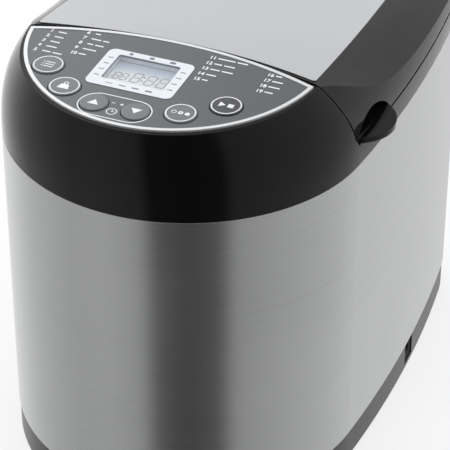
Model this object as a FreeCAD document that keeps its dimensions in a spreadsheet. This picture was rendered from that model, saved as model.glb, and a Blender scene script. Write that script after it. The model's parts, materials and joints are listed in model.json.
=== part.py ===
import FreeCAD, Part
import Sketcher
import math
import os
from types import SimpleNamespace

Vector = FreeCAD.Vector

# Driving dimensions, millimetres and degrees. +Y is the rear, +X the side with the lid's lip.
SHEET = {
    # plan outline of the casing: two flat side arcs, one front arc, a flat rear arc, two corners
    "half_width": 115.0, "side_radius": 888.0, "widest_y": 7.7, "front_reach": 182.7,
    "rear_reach": 167.3, "rear_radius": 400.0, "corner_radius": 55.0,
    # heights of the casing
    "foot_height": 4.0, "base_height": 21.1, "steel_height": 200.0, "collar_height": 13.4,
    "shoulder_height": 63.0, "lid_lift": 1.5,
    # how far the shoulder falls in at its top, and how sharply
    "side_fall": 25.5, "side_power": 2.5, "front_fall": 8.4, "front_power": 2.3,
    # walls
    "wall": 2.5, "steel_gauge": 0.8, "base_inset": 0.7, "base_floor": 3.0, "skirt": 8.0, "fit_gap": 0.1,
    # feet
    "foot_radius": 11.0, "stem_radius": 3.0, "foot_x": 70.0, "foot_front_y": -105.0, "foot_rear_y": 118.0,
    # control panel: a lens between two arcs, tilted up towards the rear
    "tip_half": 88.4, "tip_y": -90.9, "tip_z": 282.1, "panel_tilt": 1.85, "lower_sag": 76.0,
    "upper_sag": 16.2, "rim_width": 2.2, "overlay_gauge": 1.0, "rim_height": 1.4,
    # display
    "display_u": -7.7, "display_v": -23.3, "frame_width": 53.5, "frame_height": 38.1, "frame_gauge": 0.4,
    "frame_corner": 4.2, "glass_width": 38.5, "glass_height": 26.0, "glass_v": -22.0, "glass_gauge": 1.2,
    "glass_corner": 1.5,
    "lcd_width": 46.0, "lcd_height": 32.0,
    # buttons
    "key_radius": 9.4, "timer_radius": 8.2, "key_gap": 0.4, "key_rise": 0.9, "key_flange": 1.6,
    "key_stem": 3.0, "board_drop": 14.0, "board_gauge": 1.6,
    # seam between the control fascia and the lid: an arc along the panel, a straight foot at the lid's bottom
    "seam_half": 90.0, "seam_y": -88.3, "seam_sag": 15.2, "seam_foot": -73.6, "seam_gap": 1.0,
    # lid
    "lid_front_y": -84.3, "lid_front_z": 281.5, "lid_slope": 7.0, "plate_gauge": 0.8, "plate_gap": 2.2,
    "plate_front": 87.0, "plate_middle": 84.5, "plate_rear": 74.0, "plate_rear_y": 146.0,
    "plate_corner": 22.0, "plate_nose": 1.4,
    "liner_gauge": 1.0, "liner_z": 243.0, "liner_rise": 5.0, "liner_fit": 0.4,
    "seal_height": 3.3, "seal_width": 4.0,
    # lid lip
    "lip_reach": 9.5, "lip_y": -51.3, "lip_half": 21.0, "lip_depth": 12.0, "lip_gauge": 3.5, "lip_round": 2.8,
    "scoop_depth": 7.0, "scoop_height": 8.5,
    # hinge
    "hinge_y": 168.0, "hinge_z": 246.0, "pin_radius": 2.0, "pin_gap": 0.05, "pin_recess": 1.0,
    "knuckle_radius": 4.4, "knuckle_length": 8.0, "lug_x": 45.0, "lug_width": 10.0, "slot_gap": 1.5,
    "hinge_relief": 8.0, "relief_drop": 2.8,
    # oven chamber, about the drive axis
    "oven_y": 41.0, "oven_half_x": 77.0, "oven_half_y": 102.0, "oven_corner": 28.0, "oven_gauge": 0.8,
    "oven_z": 70.0, "flange_width": 8.0,
    # heating element
    "element_z": 95.0, "element_radius": 3.25, "element_half_x": 71.0, "element_half_y": 96.0,
    "element_corner": 18.0, "element_lead": 12.0, "lead_corner": 5.0, "lead_reach": 26.0,
    "insulator_radius": 7.0, "insulator_length": 8.0,
    # bread pan
    "pan_half_x": 65.0, "pan_half_y": 90.0, "pan_corner": 25.0, "pan_gauge": 1.2, "pan_z": 86.0,
    "pan_height": 113.5, "pan_foot": 6.0, "rim_reach": 2.5, "pan_rim": 2.0, "pan_ring": 29.0,
    "pan_ring_wall": 4.0, "pan_ring_depth": 12.0, "ear_half": 8.0, "ear_gauge": 4.0, "ear_drop": 9.0,
    "ear_rise": 5.0,
    # bail handle
    "bail_z": 206.0, "bail_reach": 62.0, "bail_half": 96.0, "bail_radius": 2.0, "bail_corner": 9.0,
    "pin_corner": 2.4, "pin_inner": 84.0, "grip_radius": 4.0, "grip_length": 80.0,
    # pan shaft and paddle
    "pan_shaft_radius": 4.0, "bush_radius": 9.0, "bush_flange": 13.0, "bush_height": 10.0,
    "wing_length": 36.0, "wing_width": 8.0, "wing_height": 5.0, "wing_z": 76.0, "paddle_z": 93.0,
    "paddle_hub": 11.0, "paddle_height": 23.0, "blade_reach": 48.0, "blade_gauge": 6.0,
    # pan seat
    "seat_half": 43.0, "seat_corner": 10.0, "seat_gauge": 2.5, "seat_ring": 36.0, "seat_height": 14.7,
    "seat_gap": 0.5, "seat_screw": 35.0,
    # drive
    "drive_radius": 5.0, "running_gap": 0.05, "pulley_z": 40.0, "pulley_width": 12.0, "pulley_radius": 50.0,
    "pulley_flange": 3.0, "flange_gauge": 1.6, "motor_pulley_radius": 9.0, "belt_gauge": 2.5,
    "belt_width": 8.0, "belt_gap": 0.3, "coupling_radius": 20.0, "coupling_z": 71.5, "coupling_gauge": 3.5,
    "dog_length": 8.0, "dog_width": 6.0, "dog_height": 7.0, "dog_radius": 14.0,
    "bearing_radius": 14.0, "bearing_flange": 22.0, "bearing_z": 53.0,
    # drive frame plate
    "frame_z": 64.0, "plate_thickness": 2.0, "frame_half": 68.0, "frame_rear_y": 112.0, "frame_wide_y": -80.0,
    "frame_nose": 46.0, "frame_front_y": -160.0, "column_radius": 7.0, "front_column_x": 38.0,
    "front_column_y": -150.0, "rear_column_x": 58.0, "rear_column_y": 102.0,
    # motor
    "motor_y": -115.0, "motor_radius": 40.0, "motor_height": 64.0, "motor_shield": 6.0, "rotor_radius": 19.5,
    "rotor_gap": 0.5, "motor_shaft_radius": 4.0, "motor_hole": 12.0,
    # electrics
    "power_x": -96.0, "power_y": 20.0, "power_z": 72.0, "power_width": 100.0, "power_height": 88.0,
    "pillar": 8.0, "pillar_pitch": 70.0, "capacitor_x": 95.0, "capacitor_y": -10.0,
    "capacitor_radius": 15.0, "capacitor_height": 55.0,
    # cord gland in the base notch
    "notch_y": 35.2, "notch_width": 15.0, "gland_bore": 3.6, "gland_back": 104.0, "gland_shoulder": 110.5,
    "gland_face": 112.6, "gland_flange": 22.0, "gland_height": 17.6,
    # screws
    "screw_radius": 2.0, "screw_head": 4.0, "screw_head_height": 2.6, "screw_hole": 2.2,
}


class Size:
    """A length that carries its sheet expression, so that sums of sizes stay bound to the sheet."""

    def __init__(self, value, text):
        self.value = value
        self.text = text

    def __add__(self, other):
        other = as_size(other)
        return Size(self.value + other.value, f"({self.text} + {other.text})")

    def __sub__(self, other):
        other = as_size(other)
        return Size(self.value - other.value, f"({self.text} - {other.text})")

    def __mul__(self, other):
        other = as_size(other)
        return Size(self.value * other.value, f"({self.text} * {other.text})")

    def __truediv__(self, other):
        other = as_size(other)
        return Size(self.value / other.value, f"({self.text} / {other.text})")

    def __radd__(self, other):
        return as_size(other) + self

    def __rsub__(self, other):
        return as_size(other) - self

    def __rmul__(self, other):
        return as_size(other) * self

    def __neg__(self):
        return as_size(0) - self


def as_size(amount):
    if isinstance(amount, Size):
        return amount
    return Size(float(amount), f"({float(amount)})")


doc = FreeCAD.newDocument("bread_machine")
sheet = doc.addObject("Spreadsheet::Sheet", "Sizes")
for row, (alias, number) in enumerate(SHEET.items(), start=1):
    sheet.set(f"A{row}", alias)
    sheet.set(f"B{row}", str(number))
    sheet.setAlias(f"B{row}", alias)
doc.recompute()

size = SimpleNamespace(**{alias: Size(number, f"Sizes.{alias}") for alias, number in SHEET.items()})
mm = SimpleNamespace(**{alias: float(sheet.get(alias)) for alias in SHEET})
kept = []


# Heights that follow from the driving ones.
base_top = size.foot_height + size.base_height
steel_top = base_top + size.steel_height
deck_top = steel_top + size.collar_height
lid_bottom = deck_top + size.lid_lift
tilt = math.radians(mm.panel_tilt)
tray_floor = size.foot_height + size.base_floor


# Placing and keeping sub-parts. The origin is under the middle of the whole outline, lip included.
def bind(item, prop, amount):
    item.setExpression(prop, as_size(amount).text)


def put(item, x=0, y=0, z=0, turn=None):
    item.Placement = FreeCAD.Placement(Vector(0, 0, 0), turn or FreeCAD.Rotation())
    for letter, amount in zip("xyz", (x, y, z)):
        bind(item, f".Placement.Base.{letter}", amount)
    return item


def keep(item, x=0, y=0, z=0, turn=None):
    put(item, as_size(x) - size.lip_reach / 2, y, z, turn)
    kept.append(item)
    return item


def keep_shape(label, shape, x=0, y=0, z=0):
    item = doc.addObject("Part::Feature", label)
    item.Shape = shape
    return keep(item, x, y, z)


def keep_on_panel(item, u=0, v=0, w=0):
    """Put a sub-part on the tilted panel: u along X, v towards the rear, w out of the panel."""
    y = size.tip_y + as_size(v) * math.cos(tilt) - as_size(w) * math.sin(tilt)
    z = size.tip_z + as_size(v) * math.sin(tilt) + as_size(w) * math.cos(tilt)
    return keep(item, u, y, z, FreeCAD.Rotation(Vector(1, 0, 0), mm.panel_tilt))


# Part primitives and booleans.
ALONG_X = FreeCAD.Rotation(Vector(0, 1, 0), 90)
ALONG_Y = FreeCAD.Rotation(Vector(1, 0, 0), -90)


def rod(name, radius, length, x=0, y=0, z=0, turn=None):
    item = doc.addObject("Part::Cylinder", name)
    bind(item, "Radius", radius)
    bind(item, "Height", length)
    return put(item, x, y, z, turn)


def block(name, length, width, height, x=0, y=0, z=0):
    """A box centred on x and y, standing on z."""
    item = doc.addObject("Part::Box", name)
    bind(item, "Length", length)
    bind(item, "Width", width)
    bind(item, "Height", height)
    return put(item, as_size(x) - as_size(length) / 2, as_size(y) - as_size(width) / 2, z)


def joined(name, items):
    item = doc.addObject("Part::MultiFuse", name)
    item.Shapes = items
    return item


def gathered(name, items):
    item = doc.addObject("Part::Compound", name)
    item.Links = items
    return item


def carved(name, base, tools):
    item = doc.addObject("Part::Cut", name)
    item.Base = base
    item.Tool = tools[0] if len(tools) == 1 else joined(name + "_tools", tools)
    return item


def shared(name, first, second):
    item = doc.addObject("Part::Common", name)
    item.Base = first
    item.Tool = second
    return item


# PartDesign bodies and sketches.
def new_body(label):
    return doc.addObject("PartDesign::Body", label)


def new_sketch(body, name, plane="XY_Plane", lift=0):
    sketch = body.newObject("Sketcher::SketchObject", f"{body.Name}_{name}")
    support = [item for item in body.Origin.OriginFeatures if item.Role == plane][0]
    sketch.AttachmentSupport = (support, [""])
    sketch.MapMode = "FlatFace"
    bind(sketch, ".AttachmentOffset.Base.z", lift)
    return sketch


def drive(sketch, kind, amount, *where):
    index = sketch.addConstraint(Sketcher.Constraint(kind, *where, as_size(amount).value))
    bind(sketch, f"Constraints[{index}]", amount)


def draw_polygon(sketch, points):
    first = sketch.GeometryCount
    corners = [Vector(as_size(x).value, as_size(y).value, 0) for x, y in points]
    count = len(corners)
    for step in range(count):
        sketch.addGeometry(Part.LineSegment(corners[step], corners[(step + 1) % count]), False)
    for step in range(count):
        after = first + (step + 1) % count
        sketch.addConstraint(Sketcher.Constraint("Coincident", first + step, 2, after, 1))
    for step, (x, y) in enumerate(points):
        drive(sketch, "DistanceX", x, -1, 1, first + step, 1)
        drive(sketch, "DistanceY", y, -1, 1, first + step, 1)
    return sketch


def draw_circle(sketch, radius, x=0, y=0):
    centre = Vector(as_size(x).value, as_size(y).value, 0)
    index = sketch.addGeometry(Part.Circle(centre, Vector(0, 0, 1), as_size(radius).value), False)
    drive(sketch, "DistanceX", x, -1, 1, index, 3)
    drive(sketch, "DistanceY", y, -1, 1, index, 3)
    drive(sketch, "Radius", radius, index)
    return sketch


def draw_rounded(sketch, half_x, half_y, corner, x=0, y=0):
    """A rounded rectangle about x, y: four sides and four tangent corner arcs."""
    cx, cy, hx, hy, r = (as_size(amount).value for amount in (x, y, half_x, half_y, corner))
    first = sketch.GeometryCount
    for quarter in range(4):
        sx, sy = ((1, 1), (-1, 1), (-1, -1), (1, -1))[quarter]
        centre = Vector(cx + sx * (hx - r), cy + sy * (hy - r), 0)
        start = math.pi / 2 * quarter
        circle = Part.Circle(centre, Vector(0, 0, 1), r)
        sketch.addGeometry(Part.ArcOfCircle(circle, start, start + math.pi / 2), False)
    for quarter in range(4):
        here = sketch.getPoint(first + quarter, 2)
        there = sketch.getPoint(first + (quarter + 1) % 4, 1)
        sketch.addGeometry(Part.LineSegment(here, there), False)
    for quarter in range(4):
        side = first + 4 + quarter
        after = first + (quarter + 1) % 4
        sketch.addConstraint(Sketcher.Constraint("Tangent", first + quarter, 2, side, 1))
        sketch.addConstraint(Sketcher.Constraint("Tangent", side, 2, after, 1))
        sketch.addConstraint(Sketcher.Constraint(("Horizontal", "Vertical")[quarter % 2], side))
    for quarter in range(1, 4):
        sketch.addConstraint(Sketcher.Constraint("Equal", first, first + quarter))
    drive(sketch, "Radius", corner, first)
    drive(sketch, "DistanceY", as_size(y) + half_y, -1, 1, first + 4, 1)
    drive(sketch, "DistanceX", as_size(x) - half_x, -1, 1, first + 5, 1)
    drive(sketch, "DistanceY", as_size(y) - half_y, -1, 1, first + 6, 1)
    drive(sketch, "DistanceX", as_size(x) + half_x, -1, 1, first + 7, 1)
    return sketch


def pad(body, sketch, length, both_ways=False):
    item = body.newObject("PartDesign::Pad", f"{sketch.Name}_pad")
    item.Profile = sketch
    bind(item, "Length", length)
    item.Midplane = both_ways
    return item


def pocket(body, sketch, depth, upwards=False):
    """Cut a sketch into the body, downwards from its plane unless told otherwise."""
    doc.recompute()
    before = body.Shape.Volume
    item = body.newObject("PartDesign::Pocket", f"{sketch.Name}_pocket")
    item.Profile = sketch
    item.Reversed = upwards
    bind(item, "Length", depth)
    doc.recompute()
    if body.Shape.Volume > before - 0.5:
        raise RuntimeError(f"{item.Name} cuts nothing")
    return item


def turned(label, points):
    """A body of revolution about Z from its half section, points as radius and height."""
    body = new_body(label)
    sketch = draw_polygon(new_sketch(body, "section", "XZ_Plane"), points)
    item = body.newObject("PartDesign::Revolution", f"{label}_turn")
    item.Profile = sketch
    item.ReferenceAxis = (sketch, ["V_Axis"])
    item.Angle = 360
    return body


def soften(body, radius, wanted):
    """Fillet the edges of the body's last feature that the test picks."""
    doc.recompute()
    base = body.Tip
    edges = [f"Edge{n}" for n, edge in enumerate(base.Shape.Edges, start=1) if wanted(edge)]
    item = body.newObject("PartDesign::Fillet", f"{base.Name}_round")
    item.Base = (base, edges)
    bind(item, "Radius", radius)
    return item


def at_height(z):
    return lambda edge: edge.BoundBox.ZLength < 0.01 and abs(edge.BoundBox.ZMin - as_size(z).value) < 0.01


# The casing's plan outline, a closed wire of tangent arcs.
def arc_edge(centre, radius, start, end):
    """The short arc about a centre between two points."""
    middle = (start - centre) + (end - centre)
    middle.normalize()
    return Part.Arc(start, centre + middle * radius, end).toShape()


def flipped(point):
    return Vector(-point.x, point.y, point.z)


def outward(start, through, radius):
    way = through - start
    way.normalize()
    return start + way * radius


def plan_wire(z, inset=0.0, side_inset=0.0, front_inset=0.0):
    """The outline at a height, drawn in by an inset all round and by more at the sides and the ends."""
    side_r = mm.side_radius - inset - side_inset
    side_c = Vector(mm.half_width - mm.side_radius, mm.widest_y, z)
    reach = mm.front_reach - inset - front_inset
    front_r = (side_r ** 2 - side_c.x ** 2 - reach ** 2) / (2 * (side_r - reach))
    front_c = Vector(0, mm.widest_y - (reach - front_r), z)
    rear_r = mm.rear_radius - inset - front_inset
    rear_c = Vector(0, mm.widest_y + mm.rear_reach - mm.rear_radius, z)
    corner_r = mm.corner_radius - inset - side_inset
    # the corner's centre lies on both inner circles
    span = rear_c.sub(side_c).Length
    near = side_r - corner_r
    far = rear_r - corner_r
    along = (near ** 2 - far ** 2 + span ** 2) / (2 * span)
    across = math.sqrt(near ** 2 - along ** 2)
    way = (rear_c - side_c) * (1 / span)
    corner_c = side_c + way * along + Vector(-way.y, way.x, 0) * across
    front_p = outward(side_c, front_c, side_r)
    side_p = outward(side_c, corner_c, side_r)
    rear_p = outward(rear_c, corner_c, rear_r)
    edges = [
        arc_edge(front_c, front_r, flipped(front_p), front_p),
        arc_edge(side_c, side_r, front_p, side_p),
        arc_edge(corner_c, corner_r, side_p, rear_p),
        arc_edge(rear_c, rear_r, rear_p, flipped(rear_p)),
        arc_edge(flipped(corner_c), corner_r, flipped(rear_p), flipped(side_p)),
        arc_edge(flipped(side_c), side_r, flipped(side_p), flipped(front_p)),
    ]
    return Part.Wire(edges)


def plan_prism(low, high, inset):
    return Part.Face(plan_wire(low, inset)).extrude(Vector(0, 0, high - low))


def shoulder(inset):
    """The rounded upper form of the casing, from the steel's top edge upwards."""
    steps = 7
    wires = []
    for step in range(steps + 1):
        rise = step / steps
        side = mm.side_fall * rise ** mm.side_power
        front = mm.front_fall * rise ** mm.front_power
        wires.append(plan_wire(steel_top.value + rise * mm.shoulder_height, inset, side, front))
    return Part.makeLoft(wires, True)


FAR = 400.0


def slab(low, high):
    return Part.makeBox(2 * FAR, 2 * FAR, high - low, Vector(-FAR, -FAR, low))


def under_plane(y, z, angle, lift):
    """Everything below a plane that passes through y, z and rises towards the rear by an angle."""
    solid = Part.makeBox(2 * FAR, 2 * FAR, FAR, Vector(-FAR, -FAR, lift - FAR))
    solid.rotate(Vector(0, 0, 0), Vector(1, 0, 0), angle)
    solid.translate(Vector(0, y, z))
    return solid


def under_panel(lift):
    return under_plane(mm.tip_y, mm.tip_z, mm.panel_tilt, lift)


def under_lid(lift):
    return under_plane(mm.lid_front_y, mm.lid_front_z, -mm.lid_slope, lift)


def seam_outline(z, shift, far_y):
    """Plan area at one height between the fascia's rear seam, shifted along Y, and a far line."""
    rise = (z - lid_bottom.value) / (mm.tip_z - lid_bottom.value)
    side_y = mm.seam_foot + (mm.seam_y - mm.seam_foot) * rise + shift
    apex_y = side_y + mm.seam_sag * rise
    left = Vector(-mm.seam_half, side_y, z)
    right = Vector(mm.seam_half, side_y, z)
    outer = [right]
    outer += [Vector(x, y, z) for x, y in ((FAR, side_y), (FAR, far_y), (-FAR, far_y), (-FAR, side_y))]
    outer.append(left)
    edges = [Part.makeLine(a, b) for a, b in zip(outer, outer[1:])]
    return Part.Wire([Part.Arc(left, Vector(0, apex_y, z), right).toShape()] + edges)


def seam_prism(shift, far_y):
    """The space on one side of the seam, from inside the deck to above the panel."""
    low = deck_top.value - 2 * mm.wall
    high = mm.tip_z + FAR / 10
    return Part.makeLoft([seam_outline(low, shift, far_y), seam_outline(high, shift, far_y)], True, True)


def ahead_of_seam(shift):
    return seam_prism(shift, -FAR)


def behind_seam(shift):
    return seam_prism(shift, FAR)


def rounded_prism(half_x, half_y, corner, low, high):
    """A rounded box about the oven's axis."""
    solid = Part.makeBox(2 * half_x, 2 * half_y, high - low, Vector(-half_x, mm.oven_y - half_y, low))
    upright = [edge for edge in solid.Edges if edge.BoundBox.ZLength > (high - low) / 2]
    return solid.makeFillet(corner, upright)


def panel_rod(radius, u, v, low, high):
    """A cylinder square to the panel, between two depths."""
    solid = Part.makeCylinder(radius, high - low, Vector(u, v, low))
    solid.rotate(Vector(0, 0, 0), Vector(1, 0, 0), mm.panel_tilt)
    solid.translate(Vector(0, mm.tip_y, mm.tip_z))
    return solid


def panel_box(width, height, u, v, low, high):
    solid = Part.makeBox(width, height, high - low, Vector(u - width / 2, v - height / 2, low))
    solid.rotate(Vector(0, 0, 0), Vector(1, 0, 0), mm.panel_tilt)
    solid.translate(Vector(0, mm.tip_y, mm.tip_z))
    return solid


# Buttons: name, place on the panel and cap radius.
BUTTONS = (
    ("menu_button", -60.2, -34.4, size.key_radius),
    ("weight_button", -41.6, -51.3, size.key_radius),
    ("timer_up_button", -19.0, -60.2, size.timer_radius),
    ("timer_down_button", 6.4, -60.2, size.timer_radius),
    ("colour_button", 30.3, -52.6, size.key_radius),
    ("start_button", 50.8, -36.3, size.key_radius),
)
BOARD_POSTS = ((-58.0, -14.0), (45.0, -14.0), (22.0, -36.0), (-38.0, -32.0))
POST_RADIUS = 3.0
BOARD_SCREW = 1.2
LINER_SCREWS = ((-92.0, -40.0), (92.0, -40.0), (-94.0, 100.0), (94.0, 100.0))
BOSS_RADIUS = 4.0
COLUMN_SCREW = 16.0
COLUMNS = [
    (side * size.__dict__[name + "_x"], size.__dict__[name + "_y"])
    for name in ("front_column", "rear_column")
    for side in (-1, 1)
]


def base_tray():
    low = mm.foot_height
    top = base_top.value
    floor = tray_floor.value
    inner = mm.base_inset + mm.wall
    tray = plan_prism(low, top, mm.base_inset)
    lip = plan_prism(top - mm.wall, top + mm.skirt, mm.steel_gauge + mm.fit_gap)
    tray = tray.fuse(lip).cut(plan_prism(floor, top + 2 * mm.skirt, inner))
    for x, y in COLUMNS:
        foot = Vector(x.value, y.value, floor)
        tray = tray.fuse(Part.makeCylinder(mm.column_radius, mm.frame_z - floor, foot))
        tip = Vector(x.value, y.value, mm.frame_z - COLUMN_SCREW)
        tray = tray.cut(Part.makeCylinder(mm.screw_radius, COLUMN_SCREW, tip))
    for side in (-1, 1):
        middle_y = mm.power_y + side * mm.pillar_pitch / 2
        corner = Vector(mm.power_x - mm.pillar / 2, middle_y - mm.pillar / 2, floor)
        tray = tray.fuse(Part.makeBox(mm.pillar, mm.pillar, mm.power_z - floor, corner))
    for x in (-mm.foot_x, mm.foot_x):
        for y in (mm.foot_front_y, mm.foot_rear_y):
            tray = tray.cut(Part.makeCylinder(mm.stem_radius, mm.base_floor, Vector(x, y, low)))
    vents = 7
    vent_width = 4.0
    vent_pitch = 10.0
    for step in range(vents):
        x = (step - (vents - 1) / 2) * vent_pitch - vent_width / 2
        tray = tray.cut(Part.makeBox(vent_width, 44.0, mm.base_floor, Vector(x, -112.0, low)))
    notch = Vector(mm.gland_back, mm.notch_y - mm.notch_width / 2, floor)
    tray = tray.cut(Part.makeBox(mm.half_width, mm.notch_width, top - floor, notch))
    keep_shape("base_tray", tray.removeSplitter())


def rubber_feet():
    feet = []
    for x in (-size.foot_x, size.foot_x):
        for y in (size.foot_front_y, size.foot_rear_y):
            name = f"foot_{len(feet) + 1}"
            sole = doc.addObject("Part::Cone", name + "_sole")
            bind(sole, "Radius1", size.foot_radius - 1.5)
            bind(sole, "Radius2", size.foot_radius)
            bind(sole, "Height", size.foot_height)
            put(sole, x, y, 0)
            stem = rod(name + "_stem", size.stem_radius, size.base_floor, x, y, size.foot_height)
            feet.append(joined(name, [sole, stem]))
    keep(gathered("rubber_feet", feet))


def steel_wrap():
    low = base_top.value
    high = steel_top.value
    keep_shape("steel_wrap", plan_prism(low, high, 0.0).cut(plan_prism(low, high, mm.steel_gauge)))


def hinge_rod(radius, start, length):
    return Part.makeCylinder(radius, length, Vector(start, mm.hinge_y, mm.hinge_z), Vector(1, 0, 0))


def upper_housing(form, inner_form):
    deck = deck_top.value
    top_wall = -mm.overlay_gauge - mm.wall
    gap = mm.seam_gap / 2
    fascia = form.common(ahead_of_seam(-gap)).common(under_panel(-mm.overlay_gauge))
    shell = fascia.fuse(form.common(slab(0, deck)))
    hollow = inner_form.common(ahead_of_seam(-gap - mm.wall)).common(under_panel(top_wall))
    hollow = hollow.fuse(inner_form.common(slab(0, deck - mm.wall)))
    shell = shell.cut(hollow)
    skirt_inset = mm.steel_gauge + mm.fit_gap
    low = steel_top.value - mm.skirt
    skirt = plan_prism(low, steel_top.value, skirt_inset).cut(plan_prism(low, steel_top.value, mm.wall))
    shell = shell.fuse(skirt)
    mouth = mm.oven_gauge + 0.5
    oven_hole = rounded_prism(mm.oven_half_x + mouth, mm.oven_half_y + mouth, mm.oven_corner, low, deck)
    shell = shell.cut(oven_hole)
    for name, u, v, radius in BUTTONS:
        shell = shell.cut(panel_rod(radius.value + mm.key_gap, u, v, top_wall - 2, 0))
    width = mm.glass_width + 2
    height = mm.glass_height + 2
    shell = shell.cut(panel_box(width, height, mm.display_u, mm.glass_v, top_wall - 2, 0))
    for u, v in BOARD_POSTS:
        post = panel_rod(POST_RADIUS, u, v, -mm.board_drop, top_wall + 0.5)
        shell = shell.fuse(post).cut(panel_rod(BOARD_SCREW, u, v, -mm.board_drop, -mm.board_drop / 2))
    for side in (-1, 1):
        start = side * mm.lug_x - mm.lug_width / 2
        corner = Vector(start, mm.hinge_y - mm.knuckle_radius, deck - mm.wall)
        lug = Part.makeBox(mm.lug_width, 2 * mm.knuckle_radius, mm.hinge_z - deck + mm.wall, corner)
        lug = lug.fuse(hinge_rod(mm.knuckle_radius, start, mm.lug_width))
        shell = shell.fuse(lug).cut(hinge_rod(mm.pin_radius, start, mm.lug_width))
    keep_shape("upper_housing", shell.removeSplitter())


def hinge_pins():
    length = size.lug_width + (size.slot_gap + size.knuckle_length - size.pin_recess) * 2
    pins = []
    for side in (-1, 1):
        start = side * size.lug_x - length / 2
        name = f"hinge_pin_{len(pins) + 1}"
        pins.append(rod(name, size.pin_radius, length, start, size.hinge_y, size.hinge_z, ALONG_X))
    keep(gathered("hinge_pins", pins))


# Control panel pieces, drawn in the panel's own plane.
lower_radius = (size.tip_half * size.tip_half + size.lower_sag * size.lower_sag) / (2 * size.lower_sag)
upper_radius = (size.tip_half * size.tip_half + size.upper_sag * size.upper_sag) / (2 * size.upper_sag)


def lens(name, inset, height):
    """The lens between the panel's two arcs, drawn in by an inset."""
    low = rod(name + "_low", lower_radius - inset, height, 0, lower_radius - size.lower_sag)
    high = rod(name + "_high", upper_radius - inset, height, 0, size.upper_sag - upper_radius)
    return shared(name, low, high)


def panel_overlay():
    sheet_lens = lens("overlay_lens", size.rim_width, size.overlay_gauge)
    depth = size.overlay_gauge * 3
    tools = [block("overlay_display", size.glass_width, size.glass_height, depth,
                   size.display_u, size.glass_v, -size.overlay_gauge)]
    for name, u, v, radius in BUTTONS:
        tools.append(rod(name + "_hole", radius + size.key_gap, depth, u, v, -size.overlay_gauge))
    keep_on_panel(carved("panel_overlay", sheet_lens, tools), w=-size.overlay_gauge)


def panel_trim():
    ring = carved("panel_trim", lens("trim_lens", 0, size.rim_height),
                  [lens("trim_hole", size.rim_width, size.rim_height)])
    keep_on_panel(ring, w=-size.overlay_gauge)


def display_frame():
    body = new_body("display_frame")
    outline = new_sketch(body, "outline")
    draw_rounded(outline, size.frame_width / 2, size.frame_height / 2, size.frame_corner)
    pad(body, outline, size.frame_gauge)
    opening = new_sketch(body, "opening", lift=size.frame_gauge)
    shift = size.glass_v - size.display_v
    draw_rounded(opening, size.glass_width / 2, size.glass_height / 2, size.glass_corner, 0, shift)
    pocket(body, opening, size.frame_gauge)
    keep_on_panel(body, size.display_u, size.display_v, 0)


def display_window():
    body = new_body("display_window")
    outline = new_sketch(body, "outline")
    draw_rounded(outline, size.glass_width / 2, size.glass_height / 2, size.glass_corner)
    pad(body, outline, size.glass_gauge)
    keep_on_panel(body, size.display_u, size.glass_v, -size.overlay_gauge)


def lcd_module():
    depth = size.board_drop - size.overlay_gauge - size.wall - 0.5
    glass = block("lcd_glass", size.glass_width, size.glass_height, 2, 0, 0, depth - 2)
    carrier = block("lcd_carrier", size.lcd_width, size.lcd_height, depth - 2)
    keep_on_panel(joined("lcd_module", [glass, carrier]), size.display_u, size.glass_v, -size.board_drop)


def control_board():
    """A board cut to the panel's round front, with holes for its screws."""
    sheet_disc = rod("board_disc", lower_radius - 7, size.board_gauge, 0, lower_radius - size.lower_sag)
    sheet_rect = block("board_rect", 134, 66, size.board_gauge, -4, -38)
    holes = [
        rod(f"board_hole_{n}", BOARD_SCREW, size.board_gauge * 3, u, v, -size.board_gauge)
        for n, (u, v) in enumerate(BOARD_POSTS)
    ]
    board = carved("control_board", shared("board_sheet", sheet_disc, sheet_rect), holes)
    keep_on_panel(board, w=-size.board_drop - size.board_gauge)


def board_screws():
    screws = []
    for n, (u, v) in enumerate(BOARD_POSTS):
        head = rod(f"board_screw_head_{n}", BOARD_SCREW * 2, 2, u, v, -2)
        shank = rod(f"board_screw_shank_{n}", BOARD_SCREW, 6, u, v, 0)
        screws.append(joined(f"board_screw_{n}", [head, shank]))
    keep_on_panel(gathered("board_screws", screws), w=-size.board_drop - size.board_gauge)


def tact_switches():
    switches = []
    for name, u, v, radius in BUTTONS:
        case = block(name + "_switch_case", 6, 6, 3.5, u, v)
        plunger = rod(name + "_switch_plunger", 1.7, 1.2, u, v, 3.5)
        switches.append(joined(name + "_switch", [case, plunger]))
    keep_on_panel(gathered("tact_switches", switches), w=-size.board_drop)


def button(label, u, v, radius):
    """A cap with a retaining flange under the fascia and a stem over its switch."""
    flange_top = -(size.overlay_gauge + size.wall + size.key_gap)
    flange_low = flange_top - 1.4
    stem_low = -size.board_drop + 6.0
    cap = turned(label, [
        (0, stem_low), (size.key_stem, stem_low), (size.key_stem, flange_low),
        (radius + size.key_flange, flange_low), (radius + size.key_flange, flange_top),
        (radius, flange_top), (radius, size.key_rise), (0, size.key_rise),
    ])
    soften(cap, 0.7, at_height(size.key_rise))
    keep_on_panel(cap, u, v)


# Lid.
# Flanks of the lid: place along Y, plate edge, and the height, width and crown of the curve down to the side.
FLANKS = (
    (-110.0, 89.5, 262.0, 113.0, 5.0),
    (7.7, 85.2, 249.5, 113.6, 3.0),
    (70.0, 81.9, 246.5, 112.8, 3.0),
    (146.0, 74.6, 244.0, 106.0, 2.4),
    (200.0, 68.0, 242.0, 101.0, 2.0),
)


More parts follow.
